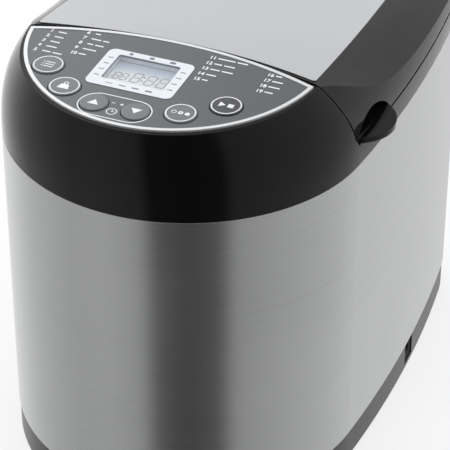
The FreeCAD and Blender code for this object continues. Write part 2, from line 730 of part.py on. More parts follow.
def above_flank(inset):
    """Everything over the lid's right flank, which falls in a curve from the plate's edge to the side."""
    sections = []
    for y, edge, low, reach, crown in FLANKS:
        drop = math.tan(math.radians(mm.lid_slope)) * (y - mm.lid_front_y)
        start = Vector(edge, y, mm.lid_front_z - drop)
        end = Vector(reach, y, low)
        chord = end - start
        middle = (start + end) / 2 + Vector(-chord.z, 0, chord.x).normalize() * crown
        far = [end, Vector(FAR, y, low), Vector(FAR, y, FAR), Vector(edge, y, FAR), start]
        edges = [Part.Arc(start, middle, end).toShape()] + [Part.makeLine(a, b) for a, b in zip(far, far[1:])]
        sections.append(Part.Wire(edges))
    solid = Part.makeLoft(sections, True)
    solid.translate(Vector(-inset / 2, 0, -inset))
    return solid


def lid_solid(form, inset):
    """The lid's form, drawn in by an inset on every side but its open bottom."""
    solid = form.common(behind_seam(mm.seam_gap / 2 + inset)).common(under_lid(-inset))
    flank = above_flank(inset)
    solid = solid.cut(flank).cut(flank.mirror(Vector(0, 0, 0), Vector(1, 0, 0)))
    return solid.common(slab(lid_bottom.value, FAR))


# Finger lip: a half-moon ledge, under an arched scoop in the lid's side.
lip_r = (mm.lip_half ** 2 + mm.lip_depth ** 2) / (2 * mm.lip_depth)
lip_x = mm.half_width + mm.lip_reach - lip_r
lip_top = lid_bottom.value + mm.lip_gauge
scoop_x = mm.half_width - mm.lip_depth / 4 - mm.scoop_depth
scoop_r = (mm.lip_half ** 2 + mm.scoop_height ** 2) / (2 * mm.scoop_height)


def scoop(grow):
    """The hollow over the lip, straight in from the side under an arch from end to end."""
    axis = Vector(scoop_x - grow, mm.lip_y, lip_top + mm.scoop_height - scoop_r)
    arch = Part.makeCylinder(scoop_r + grow, FAR, axis, Vector(1, 0, 0))
    return arch.common(slab(lip_top - grow, FAR))


def lid_hollow(form, inset):
    """The space inside the lid's walls, which pass round the scoop and its floor."""
    half = mm.lip_half + inset
    corner = Vector(scoop_x - inset, mm.lip_y - half, lid_bottom.value)
    scoop_floor = Part.makeBox(FAR, 2 * half, mm.lip_gauge, corner)
    return lid_solid(form, inset).cut(scoop(inset)).cut(scoop_floor)


def lid_shell(form, inner_form):
    bottom = lid_bottom.value
    outer = lid_solid(form, 0.0)
    hollow = lid_hollow(inner_form, mm.wall)
    shell = outer.cut(hollow)
    ledge = Part.makeCylinder(lip_r, mm.lip_gauge, Vector(lip_x, mm.lip_y, bottom))
    ledge = ledge.common(Part.makeBox(FAR, FAR, FAR, Vector(mm.half_width - mm.lip_depth / 2, -FAR / 2, 0)))
    upper = [edge for edge in ledge.Edges if edge.BoundBox.ZMin > lip_top - 0.1]
    brow = max(upper, key=lambda edge: edge.Length)
    ledge = ledge.makeFillet(mm.lip_round, [brow]).common(behind_seam(mm.seam_gap / 2))
    shell = shell.fuse(ledge.cut(hollow)).cut(scoop(0.0))
    for x, y in LINER_SCREWS:
        boss = Part.makeCylinder(BOSS_RADIUS, FAR, Vector(x, y, mm.liner_z + mm.liner_gauge)).common(outer)
        shell = shell.fuse(boss).cut(Part.makeCylinder(BOARD_SCREW, 9, Vector(x, y, mm.liner_z)))
    # hinge: relief under the rear edge, slots for the lugs, knuckles either side
    relief_y = mm.hinge_y - mm.hinge_relief
    relief_height = mm.hinge_z - mm.relief_drop - bottom
    shell = shell.cut(Part.makeBox(2 * FAR, FAR, relief_height, Vector(-FAR, relief_y, bottom)))
    slot_width = mm.lug_width + 2 * mm.slot_gap
    for side in (-1, 1):
        middle = side * mm.lug_x
        for start in (middle - slot_width / 2 - mm.knuckle_length, middle + slot_width / 2):
            shell = shell.fuse(hinge_rod(mm.knuckle_radius, start, mm.knuckle_length).common(outer))
        span = slot_width + 2 * mm.knuckle_length
        shell = shell.cut(hinge_rod(mm.pin_radius + mm.pin_gap, middle - span / 2, span))
        corner = Vector(middle - slot_width / 2, relief_y, bottom)
        shell = shell.cut(Part.makeBox(slot_width, FAR, FAR, corner))
    keep_shape("lid_shell", shell)


def lid_plate():
    """Brushed sheet on the lid's sloping top: its front edge runs along the seam, its sides taper."""
    side_y = mm.seam_y + mm.seam_gap / 2 + mm.plate_gap
    seam_r = (mm.seam_half ** 2 + mm.seam_sag ** 2) / (2 * mm.seam_sag)
    apex = side_y + mm.seam_sag
    front = Vector(mm.plate_front, apex - seam_r + math.sqrt(seam_r ** 2 - mm.plate_front ** 2), 0)
    middle = Vector(mm.plate_middle, mm.widest_y, 0)
    rear = Vector(mm.plate_rear, mm.plate_rear_y, 0)
    edges = [
        Part.Arc(flipped(front), Vector(0, apex, 0), front).toShape(),
        Part.Arc(front, middle, rear).toShape(),
        Part.Arc(rear, Vector(0, mm.plate_rear_y + 5, 0), flipped(rear)).toShape(),
        Part.Arc(flipped(rear), flipped(middle), flipped(front)).toShape(),
    ]
    solid = Part.Face(Part.Wire(edges)).extrude(Vector(0, 0, FAR))

    def corners(low, high):
        return [
            edge for edge in solid.Edges
            if edge.BoundBox.ZLength > FAR / 2 and edge.BoundBox.YMin > low and edge.BoundBox.YMax < high
        ]

    solid = solid.makeFillet(mm.plate_corner, corners(0, FAR))
    solid = solid.makeFillet(mm.plate_nose, corners(-FAR, mm.lip_y))
    keep_shape("lid_plate", solid.common(under_lid(mm.plate_gauge)).cut(under_lid(0)))


def lid_liner():
    low = mm.liner_z
    high = low + mm.liner_gauge
    inset = mm.wall + mm.liner_fit
    flange = lid_hollow(shoulder(inset), inset).common(slab(low, high))
    flange = flange.cut(Part.makeBox(2 * FAR, FAR, FAR, Vector(-FAR, mm.hinge_y - 2 * mm.hinge_relief, 0)))
    rise = mm.liner_rise
    outer = rounded_prism(mm.oven_half_x + 3, mm.oven_half_y + 3, mm.oven_corner, low, high + rise)
    inner = rounded_prism(mm.oven_half_x + 2, mm.oven_half_y + 2, mm.oven_corner - 1, low, low + rise)
    liner = flange.fuse(outer).cut(inner)
    for x, y in LINER_SCREWS:
        liner = liner.cut(Part.makeCylinder(BOARD_SCREW, mm.liner_gauge, Vector(x, y, low)))
    keep_shape("lid_liner", liner.removeSplitter())


def lid_seal():
    body = new_body("lid_seal")
    half_x = size.oven_half_x + 5
    half_y = size.oven_half_y + 5
    pad(body, draw_rounded(new_sketch(body, "outside"), half_x + size.seal_width, half_y + size.seal_width,
                           size.oven_corner + size.seal_width), size.seal_height)
    inside = draw_rounded(new_sketch(body, "inside", lift=size.seal_height), half_x, half_y, size.oven_corner)
    pocket(body, inside, size.seal_height)
    keep(body, 0, size.oven_y, size.liner_z - size.seal_height)


def liner_screws():
    screws = []
    for n, (x, y) in enumerate(LINER_SCREWS):
        head = rod(f"liner_screw_head_{n}", BOARD_SCREW * 2.5, 1.6, x, y, -1.6)
        shank = rod(f"liner_screw_shank_{n}", BOARD_SCREW, 8, x, y, 0)
        screws.append(joined(f"liner_screw_{n}", [head, shank]))
    keep(gathered("liner_screws", screws), 0, 0, size.liner_z)


# Oven.
def oven_chamber():
    gauge = size.oven_gauge
    height = deck_top - size.oven_z
    half_x = size.oven_half_x + gauge
    half_y = size.oven_half_y + gauge
    body = new_body("oven_chamber")
    pad(body, draw_rounded(new_sketch(body, "outside"), half_x, half_y, size.oven_corner + gauge), height)
    pad(body, draw_rounded(new_sketch(body, "flange", lift=height), half_x + size.flange_width,
                           half_y + size.flange_width, size.oven_corner + gauge + size.flange_width), gauge)
    inside = new_sketch(body, "inside", lift=height + gauge)
    pocket(body, draw_rounded(inside, size.oven_half_x, size.oven_half_y, size.oven_corner), height)
    floor_holes = draw_circle(new_sketch(body, "floor_holes", lift=gauge), size.drive_radius + 3)
    for x in (-size.seat_screw, size.seat_screw):
        for y in (-size.seat_screw, size.seat_screw):
            draw_circle(floor_holes, size.screw_hole, x, y)
    pocket(body, floor_holes, gauge)
    leads = new_sketch(body, "leads", "XZ_Plane", -half_y)
    for x in (-size.element_lead, size.element_lead):
        draw_circle(leads, size.element_radius + 0.2, x, size.element_z - size.oven_z)
    pocket(body, leads, gauge * 2, upwards=True)
    keep(body, 0, size.oven_y, size.oven_z)


def path_wire(points, radii):
    """Straight runs through the points, with each inner corner turned by its own radius."""
    edges = []
    start = points[0]
    for before, corner, after, radius in zip(points, points[1:], points[2:], radii):
        way_in = corner - before
        way_out = after - corner
        way_in.normalize()
        way_out.normalize()
        half_turn = way_in.getAngle(way_out) / 2
        run = radius * math.tan(half_turn)
        enter = corner - way_in * run
        leave = corner + way_out * run
        bisector = way_out - way_in
        bisector.normalize()
        middle = corner + bisector * (radius / math.cos(half_turn) - radius)
        edges.append(Part.makeLine(start, enter))
        edges.append(Part.Arc(enter, middle, leave).toShape())
        start = leave
    edges.append(Part.makeLine(start, points[-1]))
    return Part.Wire(edges)


def tube(points, radii, radius):
    way = points[1] - points[0]
    section = Part.Wire([Part.makeCircle(radius, points[0], way)])
    return path_wire(points, radii).makePipeShell([section], True, True)


def heating_element():
    """One loop round the pan's foot, both ends out through the rear wall."""
    lead = mm.element_lead
    half_x = mm.element_half_x
    front = mm.oven_y - mm.element_half_y
    rear = mm.oven_y + mm.element_half_y
    end = rear + mm.lead_reach
    plan = ((lead, end), (lead, rear), (half_x, rear), (half_x, front))
    plan += tuple((-x, y) for x, y in reversed(plan))
    points = [Vector(x, y, mm.element_z) for x, y in plan]
    radii = [mm.lead_corner] + [mm.element_corner] * 4 + [mm.lead_corner]
    keep_shape("heating_element", tube(points, radii, mm.element_radius))


def element_insulators():
    rings = []
    for side in (-1, 1):
        name = f"insulator_{len(rings) + 1}"
        y = size.oven_y + size.oven_half_y + size.oven_gauge
        x = side * size.element_lead
        length = size.insulator_length
        outer = rod(name + "_outer", size.insulator_radius, length, x, y, size.element_z, ALONG_Y)
        bore = rod(name + "_bore", size.element_radius, length, x, y, size.element_z, ALONG_Y)
        rings.append(carved(name, outer, [bore]))
    keep(gathered("element_insulators", rings))


def temperature_probe():
    """A sheathed sensor on a flange against the chamber's front wall, its leads forward."""
    wall_y = size.oven_y - size.oven_half_y - size.oven_gauge
    stem = rod("probe_stem", 3, 12, 30, wall_y - 12, 120, ALONG_Y)
    flange = rod("probe_flange", 7, 2, 30, wall_y - 2, 120, ALONG_Y)
    keep(joined("temperature_probe", [stem, flange]))


def thermal_fuse():
    wall_x = size.oven_half_x + size.oven_gauge
    clip = block("fuse_clip", 2, 26, 9, wall_x + 1, size.oven_y, 130)
    link = rod("fuse_link", 3, 22, wall_x + 4.5, size.oven_y - 11, 134.5, ALONG_Y)
    keep(joined("thermal_fuse", [clip, link]))


def pan_seat():
    body = new_body("pan_seat")
    plate = draw_rounded(new_sketch(body, "plate"), size.seat_half, size.seat_half, size.seat_corner)
    pad(body, plate, size.seat_gauge)
    pad(body, draw_circle(new_sketch(body, "collar"), size.seat_ring), size.seat_height)
    bore = draw_circle(new_sketch(body, "bore", lift=size.seat_height), size.pan_ring + size.seat_gap)
    pocket(body, bore, size.seat_height)
    holes = new_sketch(body, "holes", lift=size.seat_gauge)
    for x in (-size.seat_screw, size.seat_screw):
        for y in (-size.seat_screw, size.seat_screw):
            draw_circle(holes, size.screw_hole, x, y)
    pocket(body, holes, size.seat_gauge)
    keep(body, 0, size.oven_y, size.oven_z + size.oven_gauge)


def screw(name, x, y, z, length):
    """A pan-head screw driven down, its head standing on z."""
    head = rod(name + "_head", size.screw_head, size.screw_head_height, x, y, z)
    shank = rod(name + "_shank", size.screw_radius, length, x, y, as_size(z) - length)
    return joined(name, [head, shank])


def seat_corners():
    pitch = (-size.seat_screw, size.seat_screw)
    return [(x, size.oven_y + y) for x in pitch for y in pitch]


def seat_screws():
    z = size.oven_z + size.oven_gauge + size.seat_gauge
    screws = [screw(f"seat_screw_{n}", x, y, z, 11.0) for n, (x, y) in enumerate(seat_corners())]
    keep(gathered("seat_screws", screws))


def chamber_spacers():
    z = size.frame_z + size.plate_thickness
    length = size.oven_z - z
    tubes = []
    for n, (x, y) in enumerate(seat_corners()):
        outer = rod(f"spacer_outer_{n}", 5, length, x, y, z)
        bore = rod(f"spacer_bore_{n}", size.screw_hole, length, x, y, z)
        tubes.append(carved(f"spacer_{n}", outer, [bore]))
    keep(gathered("chamber_spacers", tubes))


# Bread pan, its bail and its paddle.
def bread_pan():
    body = new_body("bread_pan")
    half_x = size.pan_half_x
    half_y = size.pan_half_y
    corner = size.pan_corner
    top = size.pan_height
    rim = size.rim_reach
    pad(body, draw_rounded(new_sketch(body, "outside"), half_x, half_y, corner), top)
    lip = new_sketch(body, "rim", lift=top - size.pan_rim)
    pad(body, draw_rounded(lip, half_x + rim, half_y + rim, corner + rim), size.pan_rim)
    for lift in (half_y + rim - size.ear_gauge, -half_y - rim):
        ear = new_sketch(body, f"ear_{'front' if lift.value > 0 else 'rear'}", "XZ_Plane", lift)
        low = size.bail_z - size.pan_z - size.ear_drop - 4
        high = size.bail_z - size.pan_z + size.ear_rise
        half = size.ear_half
        draw_polygon(ear, [
            (-half, low), (half, low), (half, high - 3),
            (half - 3, high), (3 - half, high), (-half, high - 3),
        ])
        draw_circle(ear, size.bail_radius + size.running_gap, 0, size.bail_z - size.pan_z)
        pad(body, ear, size.ear_gauge)
    gauge = size.pan_gauge
    inside = new_sketch(body, "inside", lift=top + 10)
    pocket(body, draw_rounded(inside, half_x - gauge, half_y - gauge, corner - gauge), top + 10 - gauge)
    soften(body, size.pan_foot - gauge, at_height(gauge))
    soften(body, size.pan_foot, at_height(0))
    ring = draw_circle(new_sketch(body, "ring", lift=-size.pan_ring_depth), size.pan_ring)
    draw_circle(ring, size.pan_ring - size.pan_ring_wall)
    pad(body, ring, size.pan_ring_depth)
    pocket(body, draw_circle(new_sketch(body, "shaft_hole", lift=gauge), size.bush_radius), gauge)
    keep(body, 0, size.oven_y, size.pan_z)


def pan_bearing():
    r = size.pan_shaft_radius + size.running_gap
    low = -4.0
    top = size.bush_height + low
    body_r = size.bush_radius
    flange_r = size.bush_flange
    bush = turned("pan_bearing", [
        (r, low), (body_r, low), (body_r, -2), (flange_r, -2),
        (flange_r, 0), (body_r, 0), (body_r, top), (r, top),
    ])
    keep(bush, 0, size.oven_y, size.pan_z)


def pan_handle():
    pin = Vector(0, mm.pin_inner, 0)
    arm = Vector(0, mm.bail_half, 0)
    bar = Vector(-mm.bail_reach, mm.bail_half, 0)
    half = [pin, arm, bar]
    points = half + [Vector(p.x, -p.y, 0) for p in reversed(half)]
    radii = [mm.pin_corner, mm.bail_corner, mm.bail_corner, mm.pin_corner]
    keep_shape("pan_handle", tube(points, radii, mm.bail_radius), 0, size.oven_y, size.bail_z)


def handle_grip():
    sleeve = rod("grip_sleeve", size.grip_radius, size.grip_length, 0, -size.grip_length / 2, 0, ALONG_Y)
    bore = rod("grip_bore", size.bail_radius, size.grip_length, 0, -size.grip_length / 2, 0, ALONG_Y)
    keep(carved("handle_grip", sleeve, [bore]), -size.bail_reach, size.oven_y, size.bail_z)


def pan_shaft():
    r = size.pan_shaft_radius
    top = size.paddle_z - size.wing_z + size.paddle_height - 4
    keep(turned("pan_shaft", [(0, 0), (r, 0), (r, top), (0, top)]), 0, size.oven_y, size.wing_z)


def pan_coupling():
    body = new_body("pan_coupling")
    length = size.wing_length / 2
    width = size.wing_width / 2
    wing = new_sketch(body, "wing")
    draw_polygon(wing, [(-length, -width), (length, -width), (length, width), (-length, width)])
    pad(body, wing, size.wing_height)
    pad(body, draw_circle(new_sketch(body, "hub"), size.pan_shaft_radius * 2), size.wing_height)
    bore = draw_circle(new_sketch(body, "bore", lift=size.wing_height), size.pan_shaft_radius)
    pocket(body, bore, size.wing_height)
    keep(body, 0, size.oven_y, size.wing_z)


def kneading_paddle():
    r = size.pan_shaft_radius
    hub = size.paddle_hub
    top = size.paddle_height
    body = turned("kneading_paddle", [(r, 0), (hub, 0), (hub - 2, top), (0, top), (0, top - 4), (r, top - 4)])
    blade = new_sketch(body, "blade", "XZ_Plane")
    reach = size.blade_reach
    draw_polygon(blade, [
        (hub - 0.5, -3), (reach, -3), (reach - 5, 11), (hub - 3, top - 3), (hub - 3, 2), (hub - 0.5, 1),
    ])
    pad(body, blade, size.blade_gauge, both_ways=True)
    keep(body, 0, size.oven_y, size.paddle_z)


# Drive.
def drive_frame():
    body = new_body("drive_frame")
    half = size.frame_half
    nose = size.frame_nose
    outline = new_sketch(body, "outline")
    draw_polygon(outline, [
        (-half, size.frame_rear_y), (-half, size.frame_wide_y), (-nose, size.frame_front_y),
        (nose, size.frame_front_y), (half, size.frame_wide_y), (half, size.frame_rear_y),
    ])
    draw_circle(outline, size.bearing_radius, 0, size.oven_y)
    draw_circle(outline, size.motor_hole, 0, size.motor_y)
    for x, y in COLUMNS + seat_corners():
        draw_circle(outline, size.screw_hole, x, y)
    pad(body, outline, size.plate_thickness)
    keep(body, 0, 0, size.frame_z)


def frame_screws():
    z = size.frame_z + size.plate_thickness
    screws = [screw(f"frame_screw_{n}", x, y, z, COLUMN_SCREW) for n, (x, y) in enumerate(COLUMNS)]
    keep(gathered("frame_screws", screws))


def shaft_bearing():
    r = size.drive_radius + size.running_gap
    step = size.frame_z + size.plate_thickness - size.bearing_z
    bush = turned("shaft_bearing", [
        (r, 0), (size.bearing_radius, 0), (size.bearing_radius, step), (size.bearing_flange, step),
        (size.bearing_flange, step + 3), (r, step + 3),
    ])
    keep(bush, 0, size.oven_y, size.bearing_z)


def drive_shaft():
    r = size.drive_radius
    low = -2.0
    top = size.coupling_z + size.coupling_gauge - size.pulley_z
    keep(turned("drive_shaft", [(0, low), (r, low), (r, top), (0, top)]), 0, size.oven_y, size.pulley_z)


def pulley_rim(radius):
    """The belt track of a flanged pulley, from its lower to its upper outer edge."""
    outer = radius + size.pulley_flange
    width = size.pulley_width
    gauge = size.flange_gauge
    track_top = width - gauge
    track = [(radius, gauge), (radius, track_top)]
    return [(outer, 0), (outer, gauge)] + track + [(outer, track_top), (outer, width)]


def drive_pulley():
    r = size.drive_radius
    width = size.pulley_width
    hub = 12.0
    rim = size.pulley_radius - 6
    body = turned("drive_pulley", [
        (r, 0), (hub, 0), (hub, 4), (rim, 4), (rim, 0), *pulley_rim(size.pulley_radius),
        (rim, width), (rim, width - 4), (hub, width - 4), (hub, width), (r, width),
    ])
    hole = pocket(body, draw_circle(new_sketch(body, "hole", lift=width), 9.0, 28.0), width)
    ring = body.newObject("PartDesign::PolarPattern", "drive_pulley_holes")
    ring.Originals = [hole]
    ring.Axis = ([item for item in body.Origin.OriginFeatures if item.Role == "Z_Axis"][0], [""])
    ring.Angle = 360
    ring.Occurrences = 6
    body.Tip = ring
    keep(body, 0, size.oven_y, size.pulley_z)


def drive_coupling():
    r = size.drive_radius
    disc = size.coupling_radius
    top = size.coupling_gauge
    body = turned("drive_coupling", [(r, 0), (disc, 0), (disc, top), (r, top)])
    dogs = new_sketch(body, "dogs", lift=top)
    half = size.dog_length / 2
    for side in (-1, 1):
        low = side * size.dog_radius - size.dog_width / 2
        high = side * size.dog_radius + size.dog_width / 2
        draw_polygon(dogs, [(-half, low), (half, low), (half, high), (-half, high)])
    pad(body, dogs, size.dog_height)
    keep(body, 0, size.oven_y, size.coupling_z)


def motor_stator():
    r = size.motor_shaft_radius + size.running_gap
    outer = size.motor_radius
    cavity = size.rotor_radius + size.rotor_gap
    shield = size.motor_shield
    top = size.motor_height
    body = turned("motor_stator", [
        (r, 0), (outer, 0), (outer, top), (r, top), (r, top - shield), (cavity, top - shield),
        (cavity, shield), (r, shield),
    ])
    soften(body, 4.0, lambda edge: at_height(top)(edge) and edge.Curve.Radius > cavity.value)
    keep(body, 0, size.motor_y, size.frame_z + size.plate_thickness)


def motor_rotor():
    r = size.motor_shaft_radius
    low = size.motor_shield + 1
    top = size.motor_height - size.motor_shield - 1
    rotor = turned("motor_rotor", [(r, low), (size.rotor_radius, low), (size.rotor_radius, top), (r, top)])
    keep(rotor, 0, size.motor_y, size.frame_z + size.plate_thickness)


def motor_shaft():
    r = size.motor_shaft_radius
    low = -2.0
    top = size.frame_z + size.plate_thickness + size.motor_height + 4 - size.pulley_z
    keep(turned("motor_shaft", [(0, low), (r, low), (r, top), (0, top)]), 0, size.motor_y, size.pulley_z)


def motor_pulley():
    r = size.motor_shaft_radius
    body = turned("motor_pulley", [(r, 0), *pulley_rim(size.motor_pulley_radius), (r, size.pulley_width)])
    keep(body, 0, size.motor_y, size.pulley_z)


def belt_wire(z, extra):
    """A closed loop round both pulleys, at a distance from their tracks."""
    big = mm.pulley_radius + extra
    small = mm.motor_pulley_radius + extra
    rear = Vector(0, mm.oven_y, z)
    front = Vector(0, mm.motor_y, z)
    lean = (big - small) / (mm.oven_y - mm.motor_y)
    side = Vector(math.sqrt(1 - lean ** 2), -lean, 0)
    rear_p = rear + side * big
    front_p = front + side * small
    return Part.Wire([
        Part.Arc(flipped(rear_p), rear + Vector(0, big, 0), rear_p).toShape(),
        Part.makeLine(rear_p, front_p),
        Part.Arc(front_p, front - Vector(0, small, 0), flipped(front_p)).toShape(),
        Part.makeLine(flipped(front_p), flipped(rear_p)),
    ])


def drive_belt():
    low = mm.pulley_z + (mm.pulley_width - mm.belt_width) / 2
    rise = Vector(0, 0, mm.belt_width)
    outer = Part.Face(belt_wire(low, mm.belt_gap + mm.belt_gauge)).extrude(rise)
    keep_shape("drive_belt", outer.cut(Part.Face(belt_wire(low, mm.belt_gap)).extrude(rise)))


# Electrics.
def power_board():
    keep(block("power_board", size.board_gauge, size.power_width, size.power_height),
         size.power_x - size.board_gauge / 2, size.power_y - size.power_width / 2, size.power_z)


def power_transformer():
    face = size.power_x + size.board_gauge / 2
    core = block("transformer_core", 13, 30, 22, face + 6.5, size.power_y - 12, size.power_z + 26)
    coil = block("transformer_coil", 11, 18, 32, face + 5.5, size.power_y - 12, size.power_z + 21)
    keep(joined("power_transformer", [core, coil]))


def heater_relay():
    face = size.power_x + size.board_gauge / 2
    keep(block("heater_relay", 11, 18, 20), face, size.power_y + 16, size.power_z + 22)


def run_capacitor():
    r = size.capacitor_radius
    top = size.capacitor_height
    post = 4.0
    can = turned("run_capacitor", [
        (0, 0), (r, 0), (r, top - 3), (r - 2, top), (post, top), (post, top + post), (0, top + post),
    ])
    keep(can, size.capacitor_x, size.capacitor_y, tray_floor)


def cord_gland():
    """A bush behind the notch in the base's side, bored for a supply lead."""
    body = new_body("cord_gland")
    thick = size.gland_shoulder - size.gland_back
    tall = size.gland_height
    half = size.gland_flange / 2
    nose = size.notch_width / 2 - 0.2
    flange = new_sketch(body, "flange", "YZ_Plane")
    pad(body, draw_polygon(flange, [(-half, 0), (half, 0), (half, tall), (-half, tall)]), thick)
    snout = new_sketch(body, "nose", "YZ_Plane", thick)
    draw_polygon(snout, [(-nose, 0), (nose, 0), (nose, tall), (-nose, tall)])
    pad(body, snout, size.gland_face - size.gland_shoulder)
    depth = size.gland_face - size.gland_back
    bore = new_sketch(body, "bore", "YZ_Plane", depth)
    pocket(body, draw_circle(bore, size.gland_bore, 0, tall / 2), depth)
    keep(body, size.gland_back, size.notch_y, tray_floor)


# Build everything.
outer_form = shoulder(0.0)
inner_form = shoulder(mm.wall)

base_tray()
rubber_feet()
steel_wrap()
upper_housing(outer_form, inner_form)
hinge_pins()
cord_gland()

panel_overlay()
panel_trim()
display_frame()
display_window()
lcd_module()
control_board()
board_screws()
tact_switches()
for button_label, button_u, button_v, cap_radius in BUTTONS:
    button(button_label, button_u, button_v, cap_radius)

lid_shell(outer_form, inner_form)
lid_plate()
lid_liner()
lid_seal()
liner_screws()

oven_chamber()
heating_element()
element_insulators()
temperature_probe()
thermal_fuse()
pan_seat()
seat_screws()
chamber_spacers()

bread_pan()
pan_bearing()
pan_handle()
handle_grip()
pan_shaft()
pan_coupling()
kneading_paddle()

drive_frame()
frame_screws()
shaft_bearing()
drive_shaft()
drive_pulley()
drive_coupling()
motor_stator()
motor_rotor()
motor_shaft()
motor_pulley()
drive_belt()

power_board()
power_transformer()
heater_relay()
run_capacitor()

doc.recompute()

# Check every object and every kept shape, then write the sub-parts.
failed = [item.Label for item in doc.Objects if "Invalid" in item.State or "Error" in item.State]
failed += [item.Label for item in kept if item.Shape.isNull() or not item.Shape.isValid()]
if failed:
    raise RuntimeError("failed: " + ", ".join(failed))

os.makedirs("parts", exist_ok=True)
for item in kept:
    item.Shape.exportStep(f"parts/{item.Label}.step")
print(len(kept), "sub-parts written")
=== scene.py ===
import bpy
import bmesh
import json
from math import cos, pi, radians, sin
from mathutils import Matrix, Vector


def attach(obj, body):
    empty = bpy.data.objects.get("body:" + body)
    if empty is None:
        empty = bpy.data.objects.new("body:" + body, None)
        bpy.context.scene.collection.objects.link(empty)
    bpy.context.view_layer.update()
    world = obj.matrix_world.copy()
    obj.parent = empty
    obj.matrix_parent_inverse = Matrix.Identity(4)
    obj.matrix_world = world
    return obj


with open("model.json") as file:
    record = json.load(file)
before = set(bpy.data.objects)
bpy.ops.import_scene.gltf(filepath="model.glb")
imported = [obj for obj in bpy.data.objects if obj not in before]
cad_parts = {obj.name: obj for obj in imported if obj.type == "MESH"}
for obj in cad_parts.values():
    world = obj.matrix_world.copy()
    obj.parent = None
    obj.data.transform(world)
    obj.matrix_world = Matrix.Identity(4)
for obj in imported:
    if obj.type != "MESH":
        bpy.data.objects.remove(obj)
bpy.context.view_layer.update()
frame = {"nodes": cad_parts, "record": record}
nodes = frame["nodes"]
scene = bpy.context.scene
mm = 0.001
print("frame loaded:", len(nodes), "nodes")


# helpers for shader trees
def addNode(tree, kind, **settings):
    node = tree.nodes.new(kind)
    for key, value in settings.items():
        setattr(node, key, value)
    return node


def feed(tree, socket, value):
    # a constant sits on the socket itself, anything else is linked to it
    if isinstance(value, bpy.types.NodeSocket):
        tree.links.new(value, socket)
    else:
        socket.default_value = value


def mathNode(tree, operation, *values):
    node = addNode(tree, "ShaderNodeMath", operation=operation)
    for socket, value in zip(node.inputs, values):
        feed(tree, socket, value)
    return node.outputs[0]


def blendColour(tree, factor, a, b):
    mix = addNode(tree, "ShaderNodeMix", data_type="RGBA")
    feed(tree, mix.inputs["Factor"], factor)
    for socket, value in ((mix.inputs[6], a), (mix.inputs[7], b)):
        feed(tree, socket, value + (1,) if isinstance(value, tuple) else value)
    return mix.outputs[2]


def blendShaders(tree, share, a, b, end):
    mix = addNode(tree, "ShaderNodeMixShader")
    for socket, value in zip(mix.inputs, (share, a, b)):
        feed(tree, socket, value)
    feed(tree, addNode(tree, end).inputs[0], mix.outputs[0])


# camera of the photo
view = {
    "place": (0.46035, -1.1100, 0.9355), "turn": (55.46, 0.0, 22.9),
    "lens": 180.55, "sensor": 36.0, "farthest": 20.0,
}


def putCamera():
    data = bpy.data.cameras.new("photoCamera")
    data.lens = view["lens"]
    data.sensor_width = view["sensor"]
    data.clip_end = view["farthest"]
    camera = bpy.data.objects.new("photoCamera", data)
    camera.location = view["place"]
    camera.rotation_euler = [radians(a) for a in view["turn"]]
    scene.collection.objects.link(camera)
    scene.camera = camera


# studio light: degrees round the machine from the front, positive to the lip side, and brightness
studio = {
    "bands": [
        (-180, 1.0), (-140, 1.08), (-117, 1.05), (-91, 0.7), (-64, 0.57), (-50, 0.51),
        (-37, 0.55), (-23, 0.52), (-7, 0.42), (1, 0.09), (22, 0.055), (43, 0.09),
        (51, 0.4), (80, 0.52), (114, 0.66), (150, 0.84), (180, 1.0),
    ],
    "overhead": [
        (-180, 0.75), (-168, 0.5), (-162, 0.42), (-158, 0.62), (-154, 0.9), (-150, 1.1),
        (-140, 1.3), (-110, 1.1), (-60, 0.8), (0, 0.6), (60, 0.6), (120, 0.65),
        (155, 0.8), (180, 0.75),
    ],
    "rise": (8, 26),  # degrees above the floor where the bands give way to the overhead light
    "lamps": [  # name, place, width, power
        ("leftBox", (-1.5, -0.7, 1.3), 1.1, 9.0),
        ("rightBox", (1.5, 0.2, 1.2), 1.1, 7.0),
        ("topBox", (0.0, 0.3, 1.8), 1.2, 9.0),
    ],
    "aim": (0.0, 0.0, 0.15),
}


def brightnessRamp(tree, share, steps):
    ramp = addNode(tree, "ShaderNodeValToRGB")
    feed(tree, ramp.inputs[0], share)
    marks = ramp.color_ramp.elements
    for angle, level in steps:
        place = (angle + 180) / 360
        mark = marks[0] if place == 0 else marks[-1] if place == 1 else marks.new(place)
        mark.position = place
        mark.color = (level, level, level, 1)
    return ramp.outputs[0]


def lightWorld():
    world = bpy.data.worlds.new("studio")
    scene.world = world
    world.use_nodes = True
    tree = world.node_tree
    tree.nodes.clear()
    where = addNode(tree, "ShaderNodeTexCoord")
    axes = addNode(tree, "ShaderNodeSeparateXYZ")
    feed(tree, axes.inputs[0], where.outputs["Generated"])
    front = mathNode(tree, "MULTIPLY", axes.outputs[1], -1.0)
    around = mathNode(tree, "ARCTAN2", axes.outputs[0], front)
    share = mathNode(tree, "MULTIPLY_ADD", around, 0.5 / pi, 0.5)
    climb = addNode(tree, "ShaderNodeMapRange", interpolation_type="SMOOTHSTEP")
    feed(tree, climb.inputs["Value"], axes.outputs[2])
    for key, angle in zip(("From Min", "From Max"), studio["rise"]):
        feed(tree, climb.inputs[key], sin(radians(angle)))
    bands = brightnessRamp(tree, share, studio["bands"])
    overhead = brightnessRamp(tree, share, studio["overhead"])
    lit = addNode(tree, "ShaderNodeBackground")
    feed(tree, lit.inputs[0], blendColour(tree, climb.outputs[0], bands, overhead))
    white = addNode(tree, "ShaderNodeBackground")
    feed(tree, white.inputs[0], (1, 1, 1, 1))
    rays = addNode(tree, "ShaderNodeLightPath").outputs
    seen = mathNode(tree, "ADD", rays["Is Camera Ray"], rays["Is Transmission Ray"])
    blendShaders(tree, seen, lit.outputs[0], white.outputs[0], "ShaderNodeOutputWorld")


